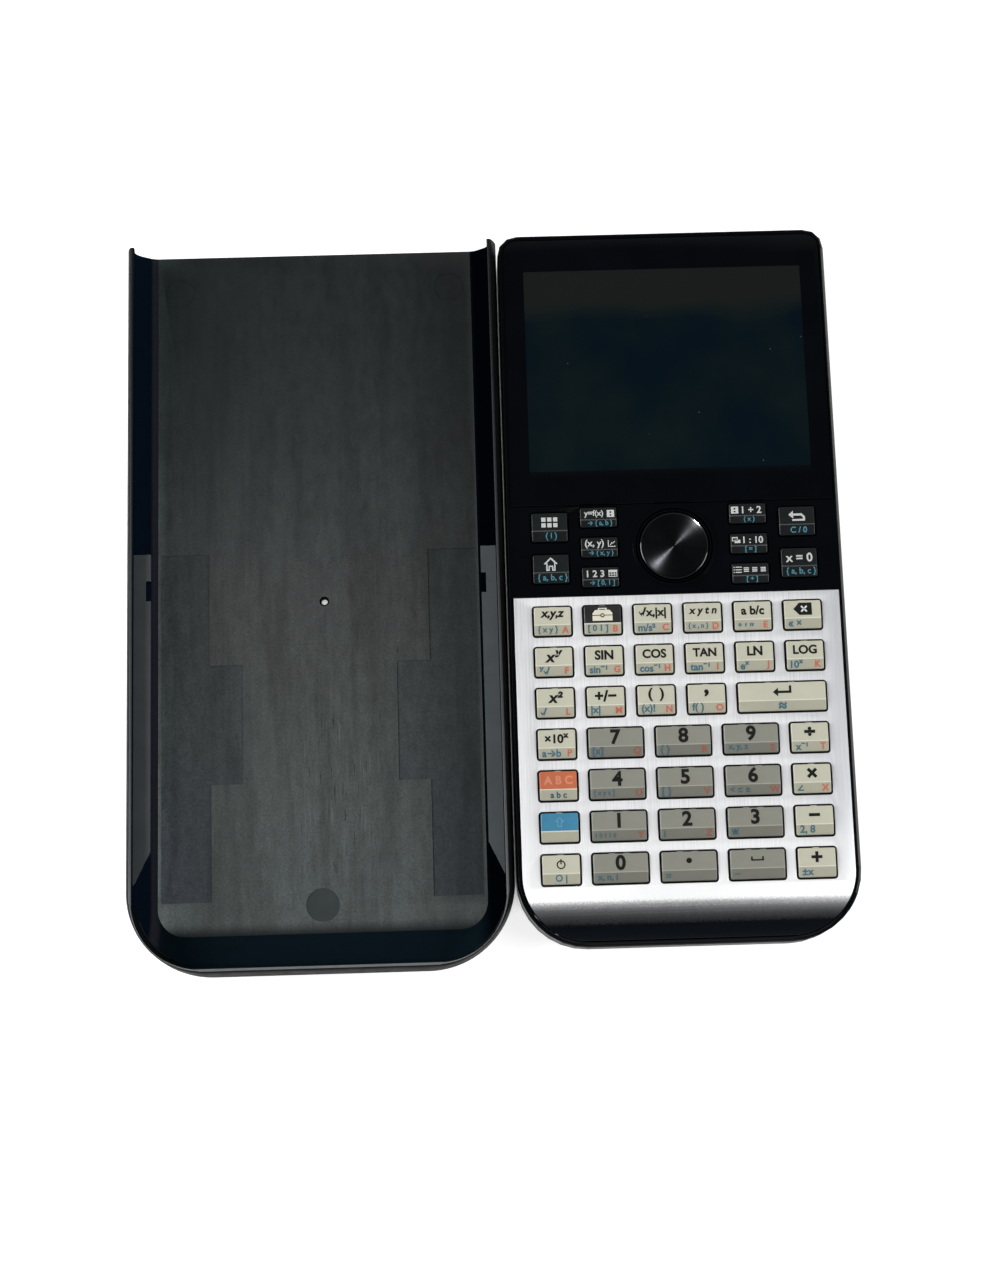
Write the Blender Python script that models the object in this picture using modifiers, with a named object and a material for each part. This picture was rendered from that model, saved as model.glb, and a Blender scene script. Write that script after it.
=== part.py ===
"""A handheld graphing calculator lying face up beside its hard slide cover.

Metres, +Z up, +Y towards the display end. The calculator's own frame has x = 0 on its centre line, y = 0 at its
lower end and z = 0 on its back, and the cover's frame is the same with its lower end a little below y = 0.
Two empties carry those frames, so that the whole object stands centred on the origin.
"""

import math

import bmesh
import bpy
from mathutils import Matrix, Vector

MM = 0.001
GAP = 0.3 * MM

# Calculator housing
CASE_WIDTH = 84.6 * MM
CASE_LENGTH = 183.2 * MM
CASE_TOP_RADIUS = 5.0 * MM
CASE_END_RADIUS = 17.3 * MM
SPLIT_Z = 7.0 * MM
FACE_Z = 13.1 * MM
FLANK_LEAN = 0.3 * MM
WALL = 2.0 * MM
BACK_THICKNESS = 1.7 * MM
BACK_ROUNDING = 3.2 * MM
DECK_Z = 11.0 * MM
SEAT_Z = 12.0 * MM
SKIN_THICKNESS = 0.8 * MM
RIM_WIDTH = 0.85 * MM

# The lower end of the face rolls down on this radius
ROLL_START_Y = 11.0 * MM
ROLL_RADIUS = 15.0 * MM
ROLL_STEPS = 6

# Face layout
PLATE_TOP_Y = 87.0 * MM
LENS_LOW_Y = 110.8 * MM
DISPLAY_WIDTH = 71.5 * MM
DISPLAY_Y = (119.6 * MM, 173.2 * MM)
DISPLAY_MARGIN = 0.5 * MM

# Keys
KEY_CLEARANCE = 0.45 * MM
KEY_CORNER = 0.4 * MM
KEY_BOTTOM_Z = 9.9 * MM
KEY_TOP_Z = 13.9 * MM
KEY_AXIS_Z = 12.6 * MM
KEY_STRIP_SHARE = 0.36
KEY_STRIP_DROP = 0.45 * MM
ROW_ONE_Y = 80.75 * MM
ROW_PITCH = 10.35 * MM
KEY_HEIGHT = 7.15 * MM
SMALL_KEY_WIDTH = 9.2 * MM
SMALL_PITCH = 12.53 * MM
NUMBER_KEY_WIDTH = 13.4 * MM
NUMBER_PITCH = 16.75 * MM
FUNCTION_ROWS = (
    ("vars", "toolbox", "templates", "variable", "fraction", "backspace"),
    ("power", "sine", "cosine", "tangent", "natural_log", "common_log"),
    ("square", "sign", "parentheses", "comma"),
)
NUMBER_ROWS = (
    ("exponent", "seven", "eight", "nine", "divide"),
    ("alpha", "four", "five", "six", "multiply"),
    ("shift", "one", "two", "three", "minus"),
    ("on", "zero", "point", "space", "plus"),
)

BLACK_TOP_Z = 13.6 * MM
BLACK_BOTTOM_Z = 10.0 * MM
BIG_BLACK_SIZE = (9.0 * MM, 7.3 * MM)
SMALL_BLACK_SIZE = (9.2 * MM, 5.0 * MM)
BIG_BLACK_X = 31.25 * MM
SMALL_BLACK_X = 18.85 * MM
BIG_BLACK_Y = (105.0 * MM, 94.2 * MM)
SMALL_BLACK_Y = (107.3 * MM, 99.5 * MM, 91.8 * MM)

# Four-way pad
NAV_Y = 99.4 * MM
NAV_RADIUS = 8.7 * MM
NAV_HOLE_RADIUS = 9.1 * MM
NAV_RING_RADIUS = 10.45 * MM
NAV_RING_RISE = 0.5 * MM
NAV_DISC_Z = (11.6 * MM, 13.6 * MM)
NAV_DISH = 0.25 * MM
NAV_STEM_RADIUS = 2.0 * MM
NAV_STEM_Z = 9.3 * MM
NAV_PIVOT_Z = (9.6 * MM, 10.6 * MM)
NAV_PIVOT_RADII = (5.5 * MM, 7.5 * MM)
NAV_AXIS_Z = 10.1 * MM

# Inside the housing
BOARD_Z = (6.6 * MM, 7.6 * MM)
BOARD_X = 38.0 * MM
BOARD_Y = (15.4 * MM, 178.0 * MM)
SOCKET_SIZE = (7.6 * MM, 6.0 * MM, 2.7 * MM)
SOCKET_SLOT = (8.6 * MM, 3.4 * MM)
SLOT_TOP_WALL = 1.2 * MM
MAT_Z = (7.9 * MM, 8.6 * MM)
MAT_Y = (15.4 * MM, 111.5 * MM)
LCD_Z = (8.1 * MM, 10.7 * MM)
LCD_X = 38.4 * MM
LCD_Y = (113.5 * MM, 178.4 * MM)
BATTERY_Z = (1.9 * MM, 6.3 * MM)
BATTERY_X = 24.0 * MM
BATTERY_Y = (21.0 * MM, 75.0 * MM)
DOOR_Z = (0.15 * MM, 1.5 * MM)
DOOR_X = 27.0 * MM
DOOR_Y = (8.5 * MM, 78.0 * MM)
DOOR_CORNER = 3.0 * MM
SCREW_Y = 12.2 * MM
SCREW_HEAD = (2.4 * MM, 0.3 * MM, 1.0 * MM)
SCREW_SHANK = (1.0 * MM, 6.0 * MM)
BOSS_RADII = (2.4 * MM, 1.35 * MM)
RESET_XY = (1.35 * MM, 91.0 * MM)
RESET_RADIUS = 0.8 * MM

# Slide cover
COVER_HALF_WIDTH = 47.8 * MM
COVER_Y = (-4.6 * MM, 184.0 * MM)
COVER_END_LEAN = 0.148
COVER_CORNERS = (21.5 * MM, 7.0 * MM)
COVER_FLOOR_INSET = 6.8 * MM
COVER_FLOOR_Z = 1.75 * MM
# The wall section, from under the floor round the rim to the floor: side inset, end inset and height in mm
COVER_SECTION = (
    (8.2, 11.5, 0.0),
    (5.0, 6.6, 0.7),
    (2.4, 3.0, 2.6),
    (0.6, 0.8, 5.4),
    (0.0, 0.0, 8.0),
    (0.3, 0.2, 11.0),
    (1.0, 0.6, 14.0),
    (1.5, 1.0, 15.2),
    (1.9, 1.4, 15.5),
    (2.3, 1.8, 15.2),
    (2.4, 2.1, 14.4),
    (2.1, 2.1, 12.0),
    (1.8, 2.2, 9.0),
    (2.6, 3.3, 6.2),
    (4.4, 6.4, 3.6),
    (5.6, 8.4, 2.3),
    (6.8, 10.4, 1.75),
)
RAIL_INNER_X = 41.6 * MM
RAIL_OUTER_X = 46.3 * MM
RAIL_Z = (8.8 * MM, 10.7 * MM)
RAIL_Y = (18.6 * MM, 26.4 * MM, 101.4 * MM)
RAIL_NOTCH_Y = (89.4 * MM, 94.5 * MM)
RAIL_NOTCH_DEPTH = 1.2 * MM
COVER_HOLE_XY = (1.35 * MM, 90.1 * MM)
COVER_HOLE_RADIUS = 0.9 * MM

# The calculator and the cover lie side by side, this far apart, and the pair is centred on the origin
SIDE_GAP = 0.3 * MM
PAIR_WIDTH = CASE_WIDTH + SIDE_GAP + 2 * COVER_HALF_WIDTH
MIDDLE_Y = (COVER_Y[0] + COVER_Y[1]) / 2
CASE_PLACE = (PAIR_WIDTH / 2 - CASE_WIDTH / 2, -MIDDLE_Y, 0)
COVER_PLACE = (COVER_HALF_WIDTH - PAIR_WIDTH / 2, -MIDDLE_Y, 0)

CORNER_STEPS = 3
BIG_CORNER_STEPS = 8
ROUND_SIDES = 24


# Scene, materials and placing


def clear_scene():
    for obj in list(bpy.data.objects):
        bpy.data.objects.remove(obj, do_unlink=True)


def new_collection(name):
    collection = bpy.data.collections.new(name)
    bpy.context.scene.collection.children.link(collection)
    return collection


def new_empty(name, place):
    empty = bpy.data.objects.new(name, None)
    empty.location = place
    parts.objects.link(empty)
    return empty


def new_material(name, colour, roughness, metallic=0.0, transmission=0.0):
    material = bpy.data.materials.new(name)
    material.use_nodes = True
    shader = material.node_tree.nodes["Principled BSDF"]
    shader.inputs["Base Color"].default_value = (*colour, 1.0)
    shader.inputs["Roughness"].default_value = roughness
    shader.inputs["Metallic"].default_value = metallic
    shader.inputs["Transmission Weight"].default_value = transmission
    return material


def make_part(obj, material, parent):
    """Puts a finished sub-part in the object's collection with its material, in its parent's frame."""
    for holder in list(obj.users_collection):
        holder.objects.unlink(obj)
    parts.objects.link(obj)
    obj.data.materials.clear()
    obj.data.materials.append(material)
    obj.parent = parent
    obj.data.shade_smooth()
    obj.data.set_sharp_from_angle(angle=math.radians(35))
    return obj


def make_cutter(obj, parent):
    for holder in list(obj.users_collection):
        holder.objects.unlink(obj)
    cutters.objects.link(obj)
    obj.parent = parent
    obj.hide_render = True
    obj.display_type = "WIRE"
    return obj


# Outlines, as lists of (x, y) run counter-clockwise


def arc(centre, radii, start_deg, steps):
    """A quarter turn of an ellipse, counter-clockwise from start_deg."""
    points = []
    for i in range(steps + 1):
        angle = math.radians(start_deg + 90 * i / steps)
        points.append((centre[0] + radii[0] * math.cos(angle), centre[1] + radii[1] * math.sin(angle)))
    return points


def rounded_rectangle(x_range, y_range, radius, steps=CORNER_STEPS):
    (x0, x1), (y0, y1) = x_range, y_range
    radii = (radius, radius)
    return (
        arc((x1 - radius, y0 + radius), radii, -90, steps)
        + arc((x1 - radius, y1 - radius), radii, 0, steps)
        + arc((x0 + radius, y1 - radius), radii, 90, steps)
        + arc((x0 + radius, y0 + radius), radii, 180, steps)
    )


def circle(centre, radius, sides=ROUND_SIDES):
    turn = 2 * math.pi / sides
    return [
        (centre[0] + radius * math.cos(i * turn), centre[1] + radius * math.sin(i * turn))
        for i in range(sides)
    ]


def case_outline(inset, y_range=(0, CASE_LENGTH)):
    """The housing seen from above, drawn in by inset: small corners at the display end, large ones below.

    A y_range that stops short of an end leaves that end square.
    """
    half = CASE_WIDTH / 2 - inset
    low = max(y_range[0], inset)
    high = min(y_range[1], CASE_LENGTH - inset)
    outline = []
    if y_range[0] <= 0:
        radius = CASE_END_RADIUS - inset
        outline += arc((half - radius, low + radius), (radius, radius), -90, BIG_CORNER_STEPS)
    else:
        outline.append((half, low))
    if y_range[1] >= CASE_LENGTH:
        radius = CASE_TOP_RADIUS - inset
        outline += arc((half - radius, high - radius), (radius, radius), 0, CORNER_STEPS)
    else:
        outline.append((half, high))
    return outline + [(-x, y) for x, y in reversed(outline)]


# Solids


def freeze(obj):
    """Replaces an object by a plain mesh of what its curve or its modifiers make, and returns it."""
    bpy.context.view_layer.update()
    evaluated = obj.evaluated_get(bpy.context.evaluated_depsgraph_get())
    mesh = bpy.data.meshes.new_from_object(evaluated)
    solid = bpy.data.objects.new(obj.name, mesh)
    solid.parent = obj.parent
    solid.location = obj.location
    name = obj.name
    bpy.data.objects.remove(obj, do_unlink=True)
    solid.name = name
    mesh.name = name
    bpy.context.scene.collection.objects.link(solid)
    return solid


def weld(obj):
    work = bmesh.new()
    work.from_mesh(obj.data)
    bmesh.ops.remove_doubles(work, verts=work.verts, dist=0.001 * MM)
    work.to_mesh(obj.data)
    work.free()
    return obj


def extrude(name, outlines, z_range):
    """A prism between two heights from one outline and any holes inside it."""
    curve = bpy.data.curves.new(name, "CURVE")
    curve.dimensions = "2D"
    curve.fill_mode = "BOTH"
    curve.extrude = (z_range[1] - z_range[0]) / 2
    for outline in outlines:
        spline = curve.splines.new("POLY")
        spline.points.add(len(outline) - 1)
        for point, (x, y) in zip(spline.points, outline):
            point.co = (x, y, 0, 1)
        spline.use_cyclic_u = True
    obj = bpy.data.objects.new(name, curve)
    obj.location = (0, 0, (z_range[0] + z_range[1]) / 2)
    bpy.context.scene.collection.objects.link(obj)
    solid = weld(freeze(obj))
    solid.data.transform(Matrix.Translation(solid.location))
    solid.location = (0, 0, 0)
    return solid


def box(name, x_range, y_range, z_range):
    sizes = [high - low for low, high in (x_range, y_range, z_range)]
    middle = [(low + high) / 2 for low, high in (x_range, y_range, z_range)]
    bpy.ops.mesh.primitive_cube_add(size=1, location=(0, 0, 0))
    obj = bpy.context.object
    obj.name = name
    obj.data.transform(Matrix.Translation(middle) @ Matrix.Diagonal((*sizes, 1)))
    return obj


def cylinder(name, centre, radius, z_range, sides=ROUND_SIDES):
    return extrude(name, [circle(centre, radius, sides)], z_range)


def apply_boolean(obj, other, operation):
    modifier = obj.modifiers.new(other.name, "BOOLEAN")
    modifier.operation = operation
    modifier.solver = "EXACT"
    modifier.object = other
    return obj


def cut(obj, cutter):
    return apply_boolean(obj, cutter, "DIFFERENCE")


def join(obj, other):
    """Makes one body of two overlapping ones, and drops the second."""
    solid = freeze(apply_boolean(obj, other, "UNION"))
    bpy.data.objects.remove(other, do_unlink=True)
    return solid


def revolve(name, profile, centre, material, parent):
    """A turned piece from (radius, z) points, outer side first and top to bottom."""
    mesh = bpy.data.meshes.new(name)
    points = [(r, 0, z) for r, z in profile]
    mesh.from_pydata(points, [(i, i + 1) for i in range(len(points) - 1)], [])
    obj = bpy.data.objects.new(name, mesh)
    obj.location = centre
    bpy.context.scene.collection.objects.link(obj)
    screw = obj.modifiers.new("turn", "SCREW")
    screw.axis = "Z"
    screw.steps = ROUND_SIDES
    screw.render_steps = ROUND_SIDES
    screw.use_merge_vertices = True
    screw.merge_threshold = 0.001 * MM
    return make_part(obj, material, parent)


def roll_drop(y):
    """How far the face has rolled down at y."""
    run = max(0.0, ROLL_START_Y - y)
    return ROLL_RADIUS - math.sqrt(ROLL_RADIUS**2 - run**2)


def roll_end(obj, z_low=0.0, z_high=1e-6):
    """Bends the lower end down along the roll, fully above z_high and not at all below z_low."""
    work = bmesh.new()
    work.from_mesh(obj.data)
    for i in range(ROLL_STEPS):
        where = (0, ROLL_START_Y * (1 - i / ROLL_STEPS), 0)
        everything = work.verts[:] + work.edges[:] + work.faces[:]
        bmesh.ops.bisect_plane(work, geom=everything, dist=1e-7, plane_co=where, plane_no=(0, 1, 0))
    for vert in work.verts:
        share = min(1.0, max(0.0, (vert.co.z - z_low) / (z_high - z_low)))
        vert.co.z -= share * roll_drop(vert.co.y)
    work.to_mesh(obj.data)
    work.free()
    return obj


# Key places


def key_layout():
    """Every light key as name, centre x, centre y and width, row by row."""
    keys = []
    for row, names in enumerate(FUNCTION_ROWS):
        for column, name in enumerate(names):
            keys.append((name, (column - 2.5) * SMALL_PITCH, ROW_ONE_Y - row * ROW_PITCH, SMALL_KEY_WIDTH))
    enter_y = ROW_ONE_Y - 2 * ROW_PITCH
    keys.append(("enter", 2 * SMALL_PITCH, enter_y, SMALL_PITCH + SMALL_KEY_WIDTH))
    edge_x = 2.5 * SMALL_PITCH
    columns = (-edge_x, -NUMBER_PITCH, 0.0, NUMBER_PITCH, edge_x)
    for row, names in enumerate(NUMBER_ROWS):
        y = ROW_ONE_Y - (3 + row) * ROW_PITCH
        for x, name in zip(columns, names):
            width = SMALL_KEY_WIDTH if abs(x) == edge_x else NUMBER_KEY_WIDTH
            keys.append((name, x, y, width))
    return keys


def black_key_layout():
    """Every black key as name, centre x, centre y and size."""
    groups = (
        (("apps", "home"), -BIG_BLACK_X, BIG_BLACK_Y, BIG_BLACK_SIZE),
        (("symbolic", "plot", "numeric"), -SMALL_BLACK_X, SMALL_BLACK_Y, SMALL_BLACK_SIZE),
        (("help", "view", "menu"), SMALL_BLACK_X, SMALL_BLACK_Y, SMALL_BLACK_SIZE),
        (("escape", "algebra"), BIG_BLACK_X, BIG_BLACK_Y, BIG_BLACK_SIZE),
    )
    return [
        (name, x, y, size) for names, x, rows, size in groups for name, y in zip(names, rows)
    ]


def key_opening(x, y, width, height, clearance):
    half_x = width / 2 + clearance
    half_y = height / 2 + clearance
    x_range = (x - half_x, x + half_x)
    y_range = (y - half_y, y + half_y)
    return rounded_rectangle(x_range, y_range, KEY_CORNER + clearance)


def light_openings():
    return [key_opening(x, y, width, KEY_HEIGHT, KEY_CLEARANCE) for _, x, y, width in key_layout()]


def black_openings():
    return [key_opening(x, y, *size, KEY_CLEARANCE) for _, x, y, size in black_key_layout()]


# Housing


def make_rear_case(material):
    """The back shell: a rounded tray with the battery opening, a socket slot and a reset hole."""
    case = extrude("rear_case", [case_outline(0)], (0, SPLIT_Z))
    work = bmesh.new()
    work.from_mesh(case.data)
    low_edges = [
        edge for edge in work.edges
        if all(vert.co.z < 1e-6 for vert in edge.verts)
        and any(abs(face.normal.z) < 0.5 for face in edge.link_faces)
    ]
    bmesh.ops.bevel(
        work, geom=low_edges, offset=BACK_ROUNDING, segments=4, profile=0.5, affect="EDGES", clamp_overlap=True
    )
    work.to_mesh(case.data)
    work.free()
    cavity = extrude("cavity_cutter", [case_outline(WALL)], (BACK_THICKNESS, SPLIT_Z + WALL))
    opening_x = (-DOOR_X - GAP, DOOR_X + GAP)
    opening_y = (DOOR_Y[0] - GAP, DOOR_Y[1] + GAP)
    opening = extrude(
        "battery_opening_cutter", [rounded_rectangle(opening_x, opening_y, DOOR_CORNER)], (-WALL, 2 * WALL)
    )
    slot_half = SOCKET_SLOT[0] / 2
    slot_z = (BOARD_Z[0] - SOCKET_SIZE[2] / 2 - SOCKET_SLOT[1] / 2, SPLIT_Z - SLOT_TOP_WALL)
    slot = box("socket_slot_cutter", (-slot_half, slot_half), (CASE_LENGTH - 2 * WALL, CASE_LENGTH + WALL), slot_z)
    reset = cylinder("reset_hole_cutter", RESET_XY, RESET_RADIUS, (-WALL, 2 * WALL), 12)
    for cutter in (cavity, opening, slot, reset):
        cut(case, make_cutter(cutter, calculator))
    return make_part(case, material, calculator)


def make_front_frame(material):
    """The black front moulding: a leaning skirt, a deck pierced for the keys, the pad and the display,
    seats for the metal plate and the lens, a ring round the pad and the boss that takes the door screw.
    """
    frame = extrude("front_frame", [case_outline(0)], (SPLIT_Z + GAP, FACE_Z))
    for vert in frame.data.vertices:
        if vert.co.z > FACE_Z - GAP:
            vert.co.x *= 1 - 2 * FLANK_LEAN / CASE_WIDTH
            vert.co.y = CASE_LENGTH / 2 + (vert.co.y - CASE_LENGTH / 2) * (1 - 2 * FLANK_LEAN / CASE_LENGTH)
    ring_z = (FACE_Z - GAP, FACE_Z + NAV_RING_RISE)
    frame = join(frame, cylinder("pad_ring", (0, NAV_Y), NAV_RING_RADIUS, ring_z, 2 * ROUND_SIDES))
    frame.parent = calculator
    above = FACE_Z + 2 * MM
    below = SPLIT_Z - 2 * MM
    plate_seat = extrude(
        "plate_seat_cutter", [case_outline(FLANK_LEAN + RIM_WIDTH, (0, PLATE_TOP_Y + GAP))], (SEAT_Z, above)
    )
    lens_seat = extrude(
        "lens_seat_cutter",
        [case_outline(FLANK_LEAN + RIM_WIDTH, (LENS_LOW_Y - GAP, CASE_LENGTH))],
        (SEAT_Z, above),
    )
    cavity = extrude("frame_cavity_cutter", [case_outline(WALL + FLANK_LEAN / 2)], (below, DECK_Z))
    key_holes = extrude("key_hole_cutter", light_openings() + black_openings(), (below, above))
    pad_hole = cylinder("pad_hole_cutter", (0, NAV_Y), NAV_HOLE_RADIUS, (below, above), 2 * ROUND_SIDES)
    window_half = DISPLAY_WIDTH / 2 + DISPLAY_MARGIN
    window_y = (DISPLAY_Y[0] - DISPLAY_MARGIN, DISPLAY_Y[1] + DISPLAY_MARGIN)
    window = box("window_cutter", (-window_half, window_half), window_y, (below, above))
    for cutter in (cavity, plate_seat, lens_seat, key_holes, pad_hole, window):
        cut(frame, make_cutter(cutter, calculator))
    frame = freeze(frame)
    boss = extrude(
        "screw_boss",
        [circle((0, SCREW_Y), BOSS_RADII[0]), circle((0, SCREW_Y), BOSS_RADII[1])],
        (DOOR_Z[1] + 2 * GAP, DECK_Z + GAP),
    )
    boss.parent = calculator
    frame = join(frame, boss)
    roll_end(frame, SPLIT_Z + GAP, DECK_Z)
    return make_part(frame, material, calculator)


def make_face_plate(material):
    """The metal plate over the light keys, rolled down at its lower end."""
    outline = case_outline(FLANK_LEAN + RIM_WIDTH + GAP, (0, PLATE_TOP_Y))
    plate = extrude("face_plate", [outline] + light_openings(), (FACE_Z - SKIN_THICKNESS, FACE_Z))
    return make_part(roll_end(plate), material, calculator)


def make_screen_lens(material):
    outline = case_outline(FLANK_LEAN + RIM_WIDTH + GAP, (LENS_LOW_Y, CASE_LENGTH))
    return make_part(extrude("screen_lens", [outline], (FACE_Z - SKIN_THICKNESS, FACE_Z)), material, calculator)


def make_battery_door(material):
    """The door in the back, counterbored for its screw."""
    door = extrude("battery_door", [rounded_rectangle((-DOOR_X, DOOR_X), DOOR_Y, DOOR_CORNER)], DOOR_Z)
    head_radius, _, head_high = SCREW_HEAD
    head_hole = cylinder("head_hole_cutter", (0, SCREW_Y), head_radius + GAP, (-WALL, head_high + GAP / 2))
    shank_hole = cylinder("shank_hole_cutter", (0, SCREW_Y), SCREW_SHANK[0] + GAP, (-WALL, WALL))
    cut(door, make_cutter(head_hole, calculator))
    cut(door, make_cutter(shank_hole, calculator))
    return make_part(door, material, calculator)


def make_door_screw(material):
    """A flat-headed screw standing head down, with a short conical point."""
    head_radius, head_low, head_high = SCREW_HEAD
    shank_radius, shank_top = SCREW_SHANK
    profile = (
        (0, shank_top),
        (shank_radius, shank_top - shank_radius),
        (shank_radius, head_high),
        (head_radius, head_high),
        (head_radius, head_low),
        (0, head_low),
    )
    return revolve("door_screw", profile, (0, SCREW_Y, 0), material, calculator)


# Inside


def make_main_board(material):
    """The circuit board with its charging socket soldered under the upper edge."""
    board = box("main_board", (-BOARD_X, BOARD_X), BOARD_Y, BOARD_Z)
    width, depth, height = SOCKET_SIZE
    reach = CASE_LENGTH - WALL - GAP
    socket = box(
        "socket", (-width / 2, width / 2), (reach - depth, reach), (BOARD_Z[0] - height, BOARD_Z[0] + GAP)
    )
    return make_part(join(board, socket), material, calculator)


def make_inside(materials):
    make_main_board(materials["board"])
    lcd = box("lcd_module", (-LCD_X, LCD_X), LCD_Y, LCD_Z)
    make_part(lcd, materials["display"], calculator)
    mat = box("dome_mat", (-BOARD_X, BOARD_X), MAT_Y, MAT_Z)
    make_part(mat, materials["mat"], calculator)
    battery = box("battery", (-BATTERY_X, BATTERY_X), BATTERY_Y, BATTERY_Z)
    make_part(battery, materials["battery"], calculator)


# Keys and pad


def make_key(name, centre, size, z_range, origin_offset, material):
    """A key cap whose top falls away along its lower strip. Its origin is moved by origin_offset."""
    width, height = size
    outline = rounded_rectangle((-width / 2, width / 2), (-height / 2, height / 2), KEY_CORNER)
    cap = extrude(name, [outline], z_range)
    strip_y = height * (KEY_STRIP_SHARE - 0.5)
    work = bmesh.new()
    work.from_mesh(cap.data)
    everything = work.verts[:] + work.edges[:] + work.faces[:]
    bmesh.ops.bisect_plane(work, geom=everything, dist=1e-7, plane_co=(0, strip_y, 0), plane_no=(0, 1, 0))
    for vert in work.verts:
        if vert.co.z > z_range[1] - GAP:
            run = max(0.0, strip_y - vert.co.y) / (strip_y + height / 2)
            vert.co.z -= KEY_STRIP_DROP * run
    bmesh.ops.translate(work, verts=work.verts, vec=-Vector(origin_offset))
    work.to_mesh(cap.data)
    work.free()
    cap.location = Vector((*centre, 0)) + Vector(origin_offset)
    return make_part(cap, material, calculator)


def key_material(name, materials):
    if name in ("alpha", "shift"):
        return materials[name]
    numbers = [key for row in NUMBER_ROWS for key in row[1:-1]]
    return materials["grey_key" if name in numbers else "cream_key"]


def make_keys(materials):
    """The light keys turn on hinges along their upper edges, and the black ones go straight down."""
    hinge = (0, KEY_HEIGHT / 2, KEY_AXIS_Z)
    for name, x, y, width in key_layout():
        size = (width, KEY_HEIGHT)
        z_range = (KEY_BOTTOM_Z, KEY_TOP_Z)
        make_key("key_" + name, (x, y), size, z_range, hinge, key_material(name, materials))
    for name, x, y, size in black_key_layout():
        z_range = (BLACK_BOTTOM_Z, BLACK_TOP_Z)
        make_key("key_" + name, (x, y), size, z_range, (0, 0, BLACK_BOTTOM_Z), materials["black_key"])


def make_pad(materials):
    """The dished four-way disc on its stem, inside the rocking ring that gives it a second axis."""
    low, high = (z - NAV_AXIS_Z for z in NAV_DISC_Z)
    stem_low = NAV_STEM_Z - NAV_AXIS_Z
    chamfer = 0.4 * MM
    disc = (
        (0, high - NAV_DISH),
        (NAV_RADIUS - 2 * chamfer, high),
        (NAV_RADIUS - chamfer, high),
        (NAV_RADIUS, high - chamfer),
        (NAV_RADIUS, low),
        (NAV_STEM_RADIUS, low),
        (NAV_STEM_RADIUS, stem_low),
        (0, stem_low),
    )
    centre = (0, NAV_Y, NAV_AXIS_Z)
    revolve("nav_disc", disc, centre, materials["pad"], calculator)
    inner, outer = NAV_PIVOT_RADII
    low, high = (z - NAV_AXIS_Z for z in NAV_PIVOT_Z)
    ring = extrude("nav_pivot", [circle((0, 0), outer), circle((0, 0), inner)], (low, high))
    ring.location = centre
    make_part(ring, materials["mat"], calculator)


# Slide cover


def cover_ring(side_inset, end_inset, z):
    """One level of the cover's wall: a U from the right end of the open side round the closed end."""
    share = min(1.0, side_inset / COVER_FLOOR_INSET)
    radius = COVER_CORNERS[0] + (COVER_CORNERS[1] - COVER_CORNERS[0]) * share
    half = COVER_HALF_WIDTH - side_inset
    low = COVER_Y[0] + end_inset
    open_y = COVER_Y[1] - COVER_END_LEAN * z
    corner = arc((half - radius, low + radius), (radius, radius), -90, BIG_CORNER_STEPS)
    right = [(half, open_y)] + corner[::-1]
    return [(x, y, z) for x, y in right + [(-x, y) for x, y in reversed(right)]]


def make_cover_tray():
    """A loft through the wall's levels, closed by the floor's two faces and the open end's section."""
    rings = [cover_ring(side * MM, end * MM, z * MM) for side, end, z in COVER_SECTION]
    work = bmesh.new()
    levels = [[work.verts.new(point) for point in ring] for ring in rings]
    for lower, upper in zip(levels, levels[1:]):
        for i in range(len(lower) - 1):
            work.faces.new((lower[i], lower[i + 1], upper[i + 1], upper[i]))
    work.faces.new(levels[0][::-1])
    work.faces.new(levels[-1])
    work.faces.new([level[0] for level in levels] + [level[-1] for level in reversed(levels)])
    bmesh.ops.recalc_face_normals(work, faces=work.faces)
    mesh = bpy.data.meshes.new("slide_cover")
    work.to_mesh(mesh)
    work.free()
    tray = bpy.data.objects.new("slide_cover", mesh)
    bpy.context.scene.collection.objects.link(tray)
    return tray


def rail_outline():
    """The right-hand rail from above: tapered at its lower end and notched near its upper one."""
    low, full, high = RAIL_Y
    notch_low, notch_high = RAIL_NOTCH_Y
    notch_x = RAIL_INNER_X + RAIL_NOTCH_DEPTH
    return [
        (RAIL_OUTER_X, low - 1 * MM),
        (RAIL_OUTER_X, high),
        (RAIL_INNER_X, high),
        (RAIL_INNER_X, notch_high),
        (notch_x, notch_high),
        (notch_x, notch_low),
        (RAIL_INNER_X, notch_low),
        (RAIL_INNER_X, full),
        (RAIL_OUTER_X - 1 * MM, low),
    ]


def make_slide_cover(material):
    tray = make_cover_tray()
    for side in (1, -1):
        outline = [(side * x, y) for x, y in rail_outline()]
        tray = join(tray, extrude("rail", [outline], RAIL_Z))
    hole = cylinder("cover_hole_cutter", COVER_HOLE_XY, COVER_HOLE_RADIUS, (-WALL, 2 * WALL), 12)
    cut(tray, make_cutter(hole, cover))
    return make_part(tray, material, cover)


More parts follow.
